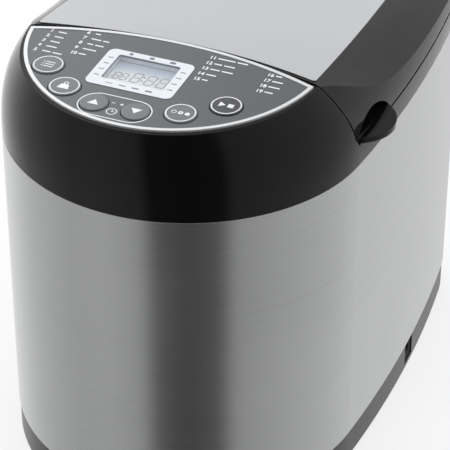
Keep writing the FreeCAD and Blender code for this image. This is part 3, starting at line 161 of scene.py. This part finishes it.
def lightLamps():
    for name, place, width, power in studio["lamps"]:
        data = bpy.data.lights.new(name, "AREA")
        data.size = width
        data.energy = power
        lamp = bpy.data.objects.new(name, data)
        lamp.location = place
        ahead = Vector(studio["aim"]) - Vector(place)
        lamp.rotation_euler = ahead.to_track_quat("-Z", "Y").to_euler()
        lamp.visible_glossy = False  # the bands above are what shows in the gloss
        scene.collection.objects.link(lamp)


# pale floor that fades into the background
ground = {"half": 4.0, "white": (0.9, 0.9, 0.9, 1), "glow": 0.74}


def layFloor():
    half = ground["half"]
    corners = [(-half, -half, 0), (half, -half, 0), (half, half, 0), (-half, half, 0)]
    mesh = bpy.data.meshes.new("floor")
    mesh.from_pydata(corners, [], [(0, 1, 2, 3)])
    floor = bpy.data.objects.new("floor", mesh)
    scene.collection.objects.link(floor)
    material = bpy.data.materials.new("paleFloor")
    material.use_nodes = True
    tree = material.node_tree
    tree.nodes.clear()
    matt = addNode(tree, "ShaderNodeBsdfDiffuse")
    feed(tree, matt.inputs[0], ground["white"])
    glow = addNode(tree, "ShaderNodeEmission")
    rays = addNode(tree, "ShaderNodeLightPath").outputs
    seen = mathNode(tree, "ADD", rays["Is Camera Ray"], rays["Is Glossy Ray"])
    seen = mathNode(tree, "ADD", seen, rays["Is Transmission Ray"])
    share = mathNode(tree, "MULTIPLY", seen, ground["glow"])
    blendShaders(tree, share, matt.outputs[0], glow.outputs[0], "ShaderNodeOutputMaterial")
    mesh.materials.append(material)
    floor.visible_glossy = False


putCamera()
lightWorld()
lightLamps()
layFloor()
scene.view_settings.view_transform = "Standard"
print("camera and studio set")


# shared effects
effects = {
    "broadScale": 9.0, "broadDetail": 2.0, "fineShare": 0.6, "broadShare": 0.4,
    "noiseSpan": (0.25, 0.75),  # what the noise reaches in practice
    "edgeSamples": 6, "edgeGain": 4.0,
    "dustScale": 38.0, "dustDetail": 6.0, "dustFall": 3.0, "dustColour": (0.62, 0.6, 0.57),
}


def newGroup(name, ins, outs):
    group = bpy.data.node_groups.new(name, "ShaderNodeTree")
    for label, kind, value in ins:
        socket = group.interface.new_socket(label, in_out="INPUT", socket_type=kind)
        socket.default_value = value
    for label, kind in outs:
        group.interface.new_socket(label, in_out="OUTPUT", socket_type=kind)
    return group, addNode(group, "NodeGroupInput").outputs, addNode(group, "NodeGroupOutput").inputs


def noise(tree, place, scale, detail):
    node = addNode(tree, "ShaderNodeTexNoise")
    for key, value in (("Vector", place), ("Scale", scale), ("Detail", detail)):
        feed(tree, node.inputs[key], value)
    return node.outputs["Fac"]


def grainGroup():
    # noise on the piece's own coordinates, stretched where the finish has a direction
    group, ins, outs = newGroup(
        "surfaceGrain",
        [("Stretch", "NodeSocketVector", (1, 1, 1)), ("Scale", "NodeSocketFloat", 100.0),
         ("Detail", "NodeSocketFloat", 3.0)],
        [("Fine", "NodeSocketFloat"), ("Broad", "NodeSocketFloat")])
    where = addNode(group, "ShaderNodeTexCoord").outputs["Object"]
    pull = addNode(group, "ShaderNodeVectorMath", operation="MULTIPLY")
    feed(group, pull.inputs[0], where)
    feed(group, pull.inputs[1], ins["Stretch"])
    fine = noise(group, pull.outputs[0], ins["Scale"], ins["Detail"])
    broad = noise(group, where, effects["broadScale"], effects["broadDetail"])
    feed(group, outs["Fine"], fine)
    feed(group, outs["Broad"], broad)
    return group


def edgeGroup():
    # rounds sharp edges in the shading and marks where they are
    group, ins, outs = newGroup(
        "softEdge", [("Radius", "NodeSocketFloat", 0.0005)],
        [("Normal", "NodeSocketVector"), ("Edge", "NodeSocketFloat")])
    bevel = addNode(group, "ShaderNodeBevel", samples=effects["edgeSamples"])
    feed(group, bevel.inputs["Radius"], ins["Radius"])
    flat = addNode(group, "ShaderNodeNewGeometry")
    dot = addNode(group, "ShaderNodeVectorMath", operation="DOT_PRODUCT")
    feed(group, dot.inputs[0], bevel.outputs[0])
    feed(group, dot.inputs[1], flat.outputs["Normal"])
    bent = mathNode(group, "SUBTRACT", 1.0, dot.outputs["Value"])
    worn = mathNode(group, "MULTIPLY", bent, effects["edgeGain"])
    worn.node.use_clamp = True
    feed(group, outs["Normal"], bevel.outputs[0])
    feed(group, outs["Edge"], worn)
    return group


def dustGroup():
    # thin dust that settles on what faces up
    group, ins, outs = newGroup(
        "settledDust", [("Amount", "NodeSocketFloat", 0.1)], [("Dust", "NodeSocketFloat")])
    axes = addNode(group, "ShaderNodeSeparateXYZ")
    feed(group, axes.inputs[0], addNode(group, "ShaderNodeNewGeometry").outputs["Normal"])
    up = mathNode(group, "MAXIMUM", axes.outputs[2], 0.0)
    up = mathNode(group, "POWER", up, effects["dustFall"])
    where = addNode(group, "ShaderNodeTexCoord").outputs["Object"]
    cloud = noise(group, where, effects["dustScale"], effects["dustDetail"])
    patchy = mathNode(group, "MULTIPLY", up, cloud)
    feed(group, outs["Dust"], mathNode(group, "MULTIPLY", patchy, ins["Amount"]))
    return group


grain = grainGroup()
softEdge = edgeGroup()
dust = dustGroup()


def useGroup(tree, group, **values):
    node = addNode(tree, "ShaderNodeGroup", node_tree=group)
    for key, value in values.items():
        feed(tree, node.inputs[key], value)
    return node.outputs


def ranged(tree, value, low, high):
    node = addNode(tree, "ShaderNodeMapRange")
    start, end = effects["noiseSpan"]
    rows = {"Value": value, "From Min": start, "From Max": end, "To Min": low, "To Max": high}
    for key, amount in rows.items():
        feed(tree, node.inputs[key], amount)
    return node.outputs[0]


def newMaterial(name):
    material = bpy.data.materials.new(name)
    material.use_nodes = True
    tree = material.node_tree
    return material, tree, tree.nodes["Principled BSDF"].inputs


def makeFinish(name, colour, second, rough, metal=0.0, scale=400.0, stretch=(1, 1, 1), detail=3.0,
               bump=0.05, depth=0.0002, edge=0.0005, worn=None, dusty=0.0, plain=None, brush=None):
    # colour and roughness wander with the grain; edges are softened, and worn if a colour is given
    material, tree, shader = newMaterial(name)
    skin = useGroup(tree, grain, Stretch=stretch, Scale=scale, Detail=detail)
    rim = useGroup(tree, softEdge, Radius=edge)
    broad = mathNode(tree, "MULTIPLY", skin["Broad"], effects["broadShare"])
    both = mathNode(tree, "MULTIPLY_ADD", skin["Fine"], effects["fineShare"], broad)
    paint = blendColour(tree, ranged(tree, both, 0.0, 1.0), colour, second)
    if worn:
        paint = blendColour(tree, rim["Edge"], paint, worn)
    if dusty:
        film = useGroup(tree, dust, Amount=dusty)
        paint = blendColour(tree, film["Dust"], paint, effects["dustColour"])
    feed(tree, shader["Base Color"], paint)
    feed(tree, shader["Roughness"], ranged(tree, both, *rough))
    feed(tree, shader["Metallic"], metal)
    lift = addNode(tree, "ShaderNodeBump")
    rows = {"Strength": bump, "Distance": depth, "Height": skin["Fine"], "Normal": rim["Normal"]}
    for key, value in rows.items():
        feed(tree, lift.inputs[key], value)
    feed(tree, shader["Normal"], lift.outputs[0])
    for key, value in (plain or {}).items():
        feed(tree, shader[key], value)
    if brush:
        along = addNode(tree, "ShaderNodeTangent", direction_type="RADIAL", axis=brush)
        feed(tree, shader["Tangent"], along.outputs[0])
    return material


# finishes of the machine, by the record's slots
finishes = {
    "gloss_black": dict(
        colour=(0.0018, 0.0018, 0.002), second=(0.003, 0.003, 0.0034), rough=(0.05, 0.085),
        scale=140.0, bump=0.03, depth=0.0001, edge=0.0007, dusty=0.004,
        plain={"Specular IOR Level": 0.32}),
    "base_plastic": dict(
        colour=(0.018, 0.018, 0.019), second=(0.028, 0.028, 0.029), rough=(0.3, 0.42),
        scale=2600.0, bump=0.16, edge=0.0008, dusty=0.05),
    "rubber_black": dict(
        colour=(0.012, 0.012, 0.012), second=(0.022, 0.021, 0.02), rough=(0.72, 0.9),
        scale=1800.0, bump=0.3, edge=0.0008),
    "silicone": dict(
        colour=(0.42, 0.4, 0.37), second=(0.5, 0.48, 0.45), rough=(0.45, 0.6),
        scale=900.0, bump=0.08,
        plain={"Subsurface Weight": 0.1, "Subsurface Radius": (0.004, 0.003, 0.002)}),
    "panel_grey": dict(
        colour=(0.135, 0.14, 0.15), second=(0.148, 0.153, 0.163), rough=(0.1, 0.14), metal=0.6,
        scale=3000.0, bump=0.03, edge=0.0003,
        plain={"Coat Weight": 0.25, "Coat Roughness": 0.06}),
    "panel_rim": dict(
        colour=(0.8, 0.81, 0.83), second=(0.86, 0.87, 0.88), rough=(0.2, 0.3), metal=0.6,
        scale=900.0, bump=0.02, edge=0.0002),
    "display_silver": dict(
        colour=(0.66, 0.69, 0.74), second=(0.7, 0.73, 0.78), rough=(0.3, 0.38),
        scale=2500.0, bump=0.03, edge=0.0004),
    "switch_black": dict(
        colour=(0.015, 0.015, 0.016), second=(0.03, 0.03, 0.03), rough=(0.4, 0.55),
        scale=2000.0, bump=0.1),
    "key_grey": dict(
        colour=(0.14, 0.148, 0.16), second=(0.155, 0.162, 0.175), rough=(0.1, 0.16), metal=0.25,
        scale=2400.0, bump=0.02, edge=0.0006,
        plain={"Coat Weight": 0.6, "Coat Roughness": 0.05}),
    "key_black": dict(
        colour=(0.04, 0.042, 0.046), second=(0.05, 0.052, 0.056), rough=(0.1, 0.16), metal=0.15,
        scale=2400.0, bump=0.02, edge=0.0006,
        plain={"Coat Weight": 0.6, "Coat Roughness": 0.05}),
    "zinc_screws": dict(
        colour=(0.5, 0.51, 0.52), second=(0.6, 0.6, 0.6), rough=(0.28, 0.45), metal=1.0,
        scale=700.0, bump=0.08, edge=0.0003),
    "oven_steel": dict(
        colour=(0.42, 0.42, 0.41), second=(0.52, 0.51, 0.5), rough=(0.3, 0.48), metal=1.0,
        scale=260.0, bump=0.06, edge=0.0008, dusty=0.03),
    "plated_plate": dict(
        colour=(0.48, 0.49, 0.5), second=(0.6, 0.61, 0.6), rough=(0.32, 0.5), metal=1.0,
        scale=180.0, detail=8.0, bump=0.05, edge=0.0006),
    "element_steel": dict(
        colour=(0.12, 0.115, 0.11), second=(0.2, 0.18, 0.16), rough=(0.4, 0.6), metal=0.9,
        scale=320.0, detail=6.0, bump=0.1),
    "ceramic": dict(
        colour=(0.76, 0.72, 0.65), second=(0.82, 0.79, 0.73), rough=(0.5, 0.65),
        scale=1500.0, bump=0.08),
    "nonstick": dict(
        colour=(0.028, 0.028, 0.03), second=(0.06, 0.06, 0.062), rough=(0.34, 0.46), metal=0.2,
        scale=2300.0, detail=2.0, bump=0.12, edge=0.0006, worn=(0.16, 0.16, 0.155)),
    "bronze": dict(
        colour=(0.36, 0.22, 0.1), second=(0.45, 0.28, 0.13), rough=(0.3, 0.45), metal=1.0,
        scale=500.0),
    "shaft_steel": dict(
        colour=(0.58, 0.58, 0.58), second=(0.66, 0.66, 0.65), rough=(0.16, 0.26), metal=1.0,
        scale=160.0, stretch=(1, 1, 12), bump=0.05, edge=0.0004),
    "coupling_metal": dict(
        colour=(0.4, 0.4, 0.41), second=(0.5, 0.5, 0.5), rough=(0.35, 0.5), metal=1.0,
        scale=650.0, bump=0.12, edge=0.0005),
    "pulley_nylon": dict(
        colour=(0.6, 0.58, 0.52), second=(0.67, 0.65, 0.59), rough=(0.45, 0.58),
        scale=1300.0, bump=0.07),
    "motor_iron": dict(
        colour=(0.22, 0.22, 0.225), second=(0.3, 0.3, 0.3), rough=(0.4, 0.55), metal=0.9,
        scale=60.0, stretch=(0.2, 0.2, 30), detail=2.0, bump=0.25, edge=0.0005),
    "capacitor_can": dict(
        colour=(0.62, 0.63, 0.64), second=(0.7, 0.7, 0.7), rough=(0.25, 0.35), metal=1.0,
        scale=240.0, stretch=(1, 1, 0.1), bump=0.03),
}

# brushed sheets: the wrap's lines run level round the body, the lid plate's from side to side
steel = {
    "wrap": dict(
        colour=(0.49, 0.496, 0.5), second=(0.65, 0.656, 0.66), rough=(0.24, 0.36), metal=1.0,
        scale=6.0, stretch=(1.2, 1.2, 520), detail=7.0, bump=0.1, depth=0.00004, edge=0.0006,
        brush="Z", plain={"Anisotropic": 0.9, "Anisotropic Rotation": 0.25}),
    "lid": dict(
        colour=(0.645, 0.655, 0.675), second=(0.76, 0.77, 0.79), rough=(0.26, 0.36), metal=1.0,
        scale=6.0, stretch=(1.2, 520, 520), detail=7.0, bump=0.08, depth=0.00004, edge=0.0006,
        brush="X", plain={"Anisotropic": 0.6, "Anisotropic Rotation": 0.25}),
}

window = {
    "tint": (0.62, 0.67, 0.73), "share": 0.14, "rough": (0.03, 0.08),
    "grain": 60.0, "detail": 4.0, "edge": 0.0003,
}


def glassFinish():
    # clear window: mostly see-through, with gloss and faint smears
    material, tree, shader = newMaterial("displayGlass")
    skin = useGroup(tree, grain, Scale=window["grain"], Detail=window["detail"])
    rim = useGroup(tree, softEdge, Radius=window["edge"])
    feed(tree, shader["Roughness"], ranged(tree, skin["Fine"], *window["rough"]))
    feed(tree, shader["Base Color"], window["tint"] + (1,))
    feed(tree, shader["Alpha"], window["share"])
    feed(tree, shader["Normal"], rim["Normal"])
    return material


board = {
    "mask": (0.02, 0.1, 0.045), "maskDark": (0.012, 0.06, 0.03), "copper": (0.1, 0.2, 0.08),
    "cells": 170.0, "pitch": 0.12, "run": 0.085, "grain": 240.0, "rough": (0.25, 0.4),
}


def boardFinish():
    # solder mask with fine copper runs showing through
    material, tree, shader = newMaterial("boardGreen")
    where = addNode(tree, "ShaderNodeTexCoord")
    cells = addNode(tree, "ShaderNodeTexVoronoi", distance="MANHATTAN", feature="F1")
    feed(tree, cells.inputs["Scale"], board["cells"])
    feed(tree, cells.inputs["Vector"], where.outputs["Object"])
    folds = mathNode(tree, "PINGPONG", cells.outputs["Distance"], board["pitch"])
    runs = mathNode(tree, "GREATER_THAN", folds, board["run"])
    skin = useGroup(tree, grain, Scale=board["grain"])
    mask = blendColour(tree, skin["Broad"], board["maskDark"], board["mask"])
    feed(tree, shader["Base Color"], blendColour(tree, runs, mask, board["copper"]))
    feed(tree, shader["Roughness"], ranged(tree, skin["Fine"], *board["rough"]))
    return material


cell = {
    "near": (0.73, 0.74, 0.75), "far": (0.42, 0.48, 0.56), "grain": 1800.0, "speck": 0.03,
    "steep": 2.0, "shift": -0.76,  # the painted shadow's edge lies a little behind the middle
    "rough": (0.3, 0.42),
}


def lcdFinish():
    # pale cell, darker towards its far edge: a painted shadow of the window frame
    material, tree, shader = newMaterial("lcdCellPaintedShadow")
    where = addNode(tree, "ShaderNodeTexCoord")
    axes = addNode(tree, "ShaderNodeSeparateXYZ")
    feed(tree, axes.inputs[0], where.outputs["Generated"])
    skin = useGroup(tree, grain, Scale=cell["grain"])
    speck = mathNode(tree, "MULTIPLY_ADD", skin["Fine"], cell["speck"], cell["shift"])
    soft = mathNode(tree, "MULTIPLY_ADD", axes.outputs[1], cell["steep"], speck)
    # painted shadow: the far colour stands in for the shade the window frame casts on the cell
    shade = blendColour(tree, ranged(tree, soft, 0.0, 1.0), cell["near"], cell["far"])
    feed(tree, shader["Base Color"], shade)
    feed(tree, shader["Roughness"], ranged(tree, skin["Fine"], *cell["rough"]))
    return material


slotOf = {row["node"]: row["material_slot"] for row in frame["record"]["subparts"]}
made = {slot: makeFinish(slot, **values) for slot, values in finishes.items()}
made["display_glass"] = glassFinish()
made["board_green"] = boardFinish()
byNode = {
    "steel_wrap": makeFinish("wrapSteel", **steel["wrap"]),
    "lid_plate": makeFinish("lidSteel", **steel["lid"]),
    "lcd_module": lcdFinish(),
}
for name, node in nodes.items():
    finish = byNode.get(name) or made[slotOf[name]]
    node.data.materials.clear()
    node.data.materials.append(finish)
print("finishes on", len(nodes), "nodes")


# printed marks, in millimetres on the panel: u to the lip side, v to the rear, w off the face
panel = {"origin": (-4.75, -90.9, 282.1), "tilt": 1.85}
ink = {
    "thick": 0.05, "line": 0.75, "bold": 0.14, "fontScale": 1.42, "fontSteps": 3, "weld": 1e-7,
    "look": dict(scale=4000.0, edge=0.0001),
}
inks = {
    "white": makeFinish("whiteInk", (0.78, 0.79, 0.8), (0.7, 0.71, 0.73), (0.4, 0.5),
                        bump=0.03, **ink["look"]),
    "dark": makeFinish("darkInk", (0.12, 0.13, 0.15), (0.18, 0.19, 0.21), (0.4, 0.5),
                       bump=0.03, **ink["look"]),
    "ghost": makeFinish("ghostInk", (0.1, 0.11, 0.12), (0.14, 0.15, 0.16), (0.35, 0.45),
                        bump=0.02, **ink["look"]),
}


def panelPoint(u, v, w):
    slope = radians(panel["tilt"])
    x, y, z = panel["origin"]
    back = v * cos(slope) - w * sin(slope)
    up = v * sin(slope) + w * cos(slope)
    return Vector((x + u, y + back, z + up)) * mm


def arc(u, v, r, start, sweep, count):
    turns = [start + sweep * n / count for n in range(count + 1)]
    return [(u + r * cos(a), v + r * sin(a)) for a in turns]


def circle(u, v, r, count=56):
    return arc(u, v, r, 0, 2 * pi, count)[:-1]


def stadium(u, v, halfLong, half, count=20):
    reach = halfLong - half
    return (arc(u + reach, v, half, -pi / 2, pi, count)
            + arc(u - reach, v, half, pi / 2, pi, count))


def bar(u, v, width, height):
    # from its left end, on its middle line
    low, high = v - height / 2, v + height / 2
    return [(u, low), (u + width, low), (u + width, high), (u, high)]


def addPiece(name, mesh, material, body):
    mesh.materials.append(material)
    piece = bpy.data.objects.new(name, mesh)
    scene.collection.objects.link(piece)
    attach(piece, body)


class InkSheet:
    # flat marks raised a hair above one height
    def __init__(self, height):
        self.height = height
        self.mesh = bmesh.new()

    def corners(self, points, lift):
        w = self.height + lift
        return [self.mesh.verts.new(panelPoint(u, v, w)) for u, v in points]

    def fill(self, points):
        low = self.corners(points, 0)
        top = self.corners(points, ink["thick"])
        self.mesh.faces.new(top)
        self.mesh.faces.new(low[::-1])
        count = len(points)
        for n in range(count):
            after = (n + 1) % count
            self.mesh.faces.new((low[n], low[after], top[after], top[n]))

    def outline(self, points, width):
        count = len(points)
        rings = []
        for side in (-width / 2, width / 2):
            ring = []
            for n, (u, v) in enumerate(points):
                ahead = Vector(points[(n + 1) % count]) - Vector(points[n - 1])
                out = Vector((ahead.y, -ahead.x)).normalized()
                ring.append((u + out.x * side, v + out.y * side))
            rings.append(ring)
        lowIn, lowOut = [self.corners(ring, 0) for ring in rings]
        topIn, topOut = [self.corners(ring, ink["thick"]) for ring in rings]
        for n in range(count):
            after = (n + 1) % count
            self.mesh.faces.new((topIn[n], topOut[n], topOut[after], topIn[after]))
            self.mesh.faces.new((lowOut[n], lowIn[n], lowIn[after], lowOut[after]))
            self.mesh.faces.new((lowOut[n], lowOut[after], topOut[after], topOut[n]))
            self.mesh.faces.new((lowIn[after], lowIn[n], topIn[n], topIn[after]))

    def marks(self, u, v, bars=(), shapes=(), rings=()):
        for du, dv, width, height in bars:
            self.fill(bar(u + du, v + dv, width, height))
        for shape in shapes:
            self.fill([(u + du, v + dv) for du, dv in shape])
        for du, dv, r, count, width in rings:
            self.outline(circle(u + du, v + dv, r, count), width)

    def number(self, text, u, v, tall):
        curve = bpy.data.curves.new("number", "FONT")
        curve.body = text
        curve.size = tall * ink["fontScale"]
        curve.resolution_u = ink["fontSteps"]
        curve.extrude = ink["thick"] / 2
        curve.offset = ink["bold"]
        word = bpy.data.objects.new("number", curve)
        scene.collection.objects.link(word)
        bpy.context.view_layer.update()
        drawn = word.evaluated_get(bpy.context.evaluated_depsgraph_get())
        flat = bpy.data.meshes.new_from_object(drawn)
        middle = self.height + ink["thick"] / 2
        for corner in flat.vertices:
            x, y, z = corner.co
            corner.co = panelPoint(u + x, v + y, middle + z)
        self.mesh.from_mesh(flat)
        bpy.data.objects.remove(word)
        bpy.data.curves.remove(curve)
        bpy.data.meshes.remove(flat)

    def finish(self, name, material, body, slot):
        bmesh.ops.remove_doubles(self.mesh, verts=self.mesh.verts, dist=ink["weld"])
        bmesh.ops.recalc_face_normals(self.mesh, faces=self.mesh.faces)
        mesh = bpy.data.meshes.new(name)
        self.mesh.to_mesh(mesh)
        self.mesh.free()
        addPiece(name, mesh, material, body)


# programme numbers, each with a row of plain dashes
programmes = {
    "rows": [  # first number, left edge, highest row, lowest row, dash lengths of each row
        (1, -76.0, 0.6, -21.2, [(5.2,), (5.6,), (6.0,), (6.6,), (5.4, 5.8)]),
        (6, -55.0, 6.5, -16.4, [(3.4,), (6.2, 4.0), (3.8, 5.4), (8.4,), (4.6,)]),
        (11, 22.0, 8.0, -15.8, [(10.6, 6.4), (4.8, 6.6), (5.8, 6.8), (6.0,), (3.4,)]),
        (16, 59.5, 2.9, -14.6, [(3.6,), (6.4,), (6.8,), (5.0,)]),
    ],
    "tall": 2.9, "dash": 1.1, "indent": 5.2, "gap": 1.3, "height": 0.02,
}
timer = {
    "middle": (-6.3, -60.35), "halfLong": 21.7, "half": 10.85, "clock": (-6.3, -64.4),
    "rings": [(0, 0, 2.9, 56, 0.6)],
    "bars": [
        (-0.25, 0.8, 0.5, 2.2), (0.3, -0.05, 1.5, 0.5),  # hands of the clock
        (-3.7, 8.3, 2.2, 0.6),  # minus
        (1.5, 8.3, 2.2, 0.6), (2.3, 9.05, 0.6, 0.75), (2.3, 7.55, 0.6, 0.75),  # plus
    ],
}


def printPanel():
    sheet = InkSheet(programmes["height"])
    tall = programmes["tall"]
    for first, left, high, low, rows in programmes["rows"]:
        for n, dashes in enumerate(rows):
            v = high + (low - high) * n / (len(rows) - 1)
            sheet.number(str(first + n), left, v - tall / 2, tall)
            u = left + programmes["indent"]
            for length in dashes:
                sheet.fill(bar(u, v, length, programmes["dash"]))
                u += length + programmes["gap"]
    sheet.outline(stadium(*timer["middle"], timer["halfLong"], timer["half"]), ink["line"])
    sheet.marks(*timer["clock"], bars=timer["bars"], rings=timer["rings"])
    sheet.finish("panelPrint", inks["white"], "casing", "panel_rim")


# key marks ride on their keys
keys = {
    "menu": {
        "place": (-60.2, -34.4), "ring": 8.3,
        "bars": [(left, row, width, 0.8) for row in (2.2, 0, -2.2)
                 for left, width in ((-3.6, 0.9), (-2.0, 5.6))],
    },
    "weight": {
        "place": (-41.6, -51.3), "ring": 8.3,
        "shapes": [[(-3.6, -3.0), (3.6, -3.0), (2.3, 1.4), (-2.3, 1.4)]],
        "rings": [(0, 2.6, 1.2, 24, 0.6)],
    },
    "timer_up": {"place": (-19.0, -60.2), "shapes": [[(0, 2.55), (-3.4, -2.21), (3.4, -2.21)]]},
    "timer_down": {"place": (6.4, -60.2), "shapes": [[(0, -2.55), (3.4, 2.21), (-3.4, 2.21)]]},
    "colour": {
        "place": (30.3, -52.6), "ring": 8.3,
        "shapes": [circle(4.0, 0, 1.5, 28)],
        "rings": [(-4.0, 0, 1.275, 28, 0.45), (0, 0, 1.025, 28, 0.95)],
    },
    "start": {
        "place": (50.8, -36.3), "ring": 8.3,
        "shapes": [[(-4.2, -2.3), (-0.4, 0), (-4.2, 2.3)]],
        "bars": [(0.9, 0, 3.4, 3.4)],
    },
}
keyTop = 0.91


def printKey(name, place, ring=None, **icon):
    sheet = InkSheet(keyTop)
    if ring:
        sheet.outline(circle(*place, ring), ink["line"])
    sheet.marks(*place, **icon)
    sheet.finish(name + "Print", inks["white"], name + "_key", "panel_rim")


# marks on the display's frame: loaf sizes above, stages down both sides, crust shades below
frameMarks = {
    "middle": (-7.7, -23.3), "height": 0.42,
    "loaf": [(-0.5, -1.0), (0.5, -1.0), (0.5, 0.5), (0.3, 1.0), (-0.3, 1.0), (-0.5, 0.5)],
    "loaves": [(-13.0, 2.2), (0, 2.9), (13.0, 3.6)], "loafRow": 16.7,
    "stageRows": (9.4, 3.0, -3.4, -9.8), "stageLeft": (-24.2, 21.0), "stage": (3.2, 0.7),
    "shades": [(-14.4, 0.5), (-6.2, 0.75), (2.0, 1.0), (10.2, 1.25)],
    "shadeRow": -15.6, "shadeLong": 4.2,
}


def printFrame():
    sheet = InkSheet(frameMarks["height"])
    loaves = [[(place + u * wide, frameMarks["loafRow"] + v) for u, v in frameMarks["loaf"]]
              for place, wide in frameMarks["loaves"]]
    bars = [(left, row, *frameMarks["stage"])
            for row in frameMarks["stageRows"] for left in frameMarks["stageLeft"]]
    bars += [(left, frameMarks["shadeRow"], frameMarks["shadeLong"], tall)
             for left, tall in frameMarks["shades"]]
    sheet.marks(*frameMarks["middle"], bars=bars, shapes=loaves)
    sheet.finish("displayPrint", inks["dark"], "casing", "switch_black")


# unlit segments on the cell
digits = {
    "height": -3.97, "tall": 9.6, "wide": 4.9, "line": 0.55, "row": -27.2, "lean": 0.1,
    "places": [(-24.2, 0.7), (-19.6, 0.7), (-13.4, 1.0), (-4.6, 1.0), (2.8, 1.0)],  # left, scale
    "barInset": 0.35, "postInset": 0.45, "colon": -6.9, "dots": (0.3, 0.7), "dot": 1.0,
}


def printDigits():
    sheet = InkSheet(digits["height"])
    low, half, dot = digits["row"], digits["line"] / 2, digits["dot"]

    def leaning(u, v):
        return u + digits["lean"] * (v - low)

    for left, scale in digits["places"]:
        rise = digits["tall"] * scale / 2
        wide = digits["wide"] * scale
        inset = digits["barInset"]
        for n in range(3):
            row = low + rise * n
            sheet.fill(bar(leaning(left, row) + inset, row, wide - 2 * inset, digits["line"]))
        inset = digits["postInset"]
        for side in (left, left + wide):
            for n in range(2):
                start = low + rise * n + inset
                end = low + rise * (n + 1) - inset
                a, b = leaning(side, start), leaning(side, end)
                sheet.fill([(a - half, start), (a + half, start), (b + half, end), (b - half, end)])
    for share in digits["dots"]:
        row = low + digits["tall"] * share
        sheet.fill(bar(leaning(digits["colon"], row) - dot / 2, row, dot, dot))
    sheet.finish("lcdDigits", inks["ghost"], "casing", "switch_black")


# pale walls between the display's window and its cell
well = {
    "middle": (-7.7, -22.0), "outer": (20.1, 13.85), "inner": (19.4, 13.15),
    "low": -3.9, "high": -1.1,
    "look": dict(colour=(0.6, 0.64, 0.69), second=(0.66, 0.69, 0.74), rough=(0.4, 0.5),
                 scale=2500.0, bump=0.03),
}


def lineWell():
    u, v = well["middle"]
    corners = []
    for halfU, halfV in (well["outer"], well["inner"]):
        for w in (well["low"], well["high"]):
            for a, b in ((-1, -1), (1, -1), (1, 1), (-1, 1)):
                corners.append(panelPoint(u + a * halfU, v + b * halfV, w))
    outerLow, outerHigh, innerLow, innerHigh = 0, 4, 8, 12  # first corner of each ring
    walls = [(outerLow, outerHigh), (outerHigh, innerHigh),
             (innerHigh, innerLow), (innerLow, outerLow)]
    faces = []
    for n in range(4):
        after = (n + 1) % 4
        faces += [(a + n, a + after, b + after, b + n) for a, b in walls]
    mesh = bpy.data.meshes.new("displayWell")
    mesh.from_pydata(corners, [], faces)
    look = makeFinish("wellGrey", **well["look"])
    addPiece("displayWell", mesh, look, "casing")


printPanel()
lineWell()
for name, marks in keys.items():
    printKey(name, **marks)
printFrame()
printDigits()
print("panel printed")
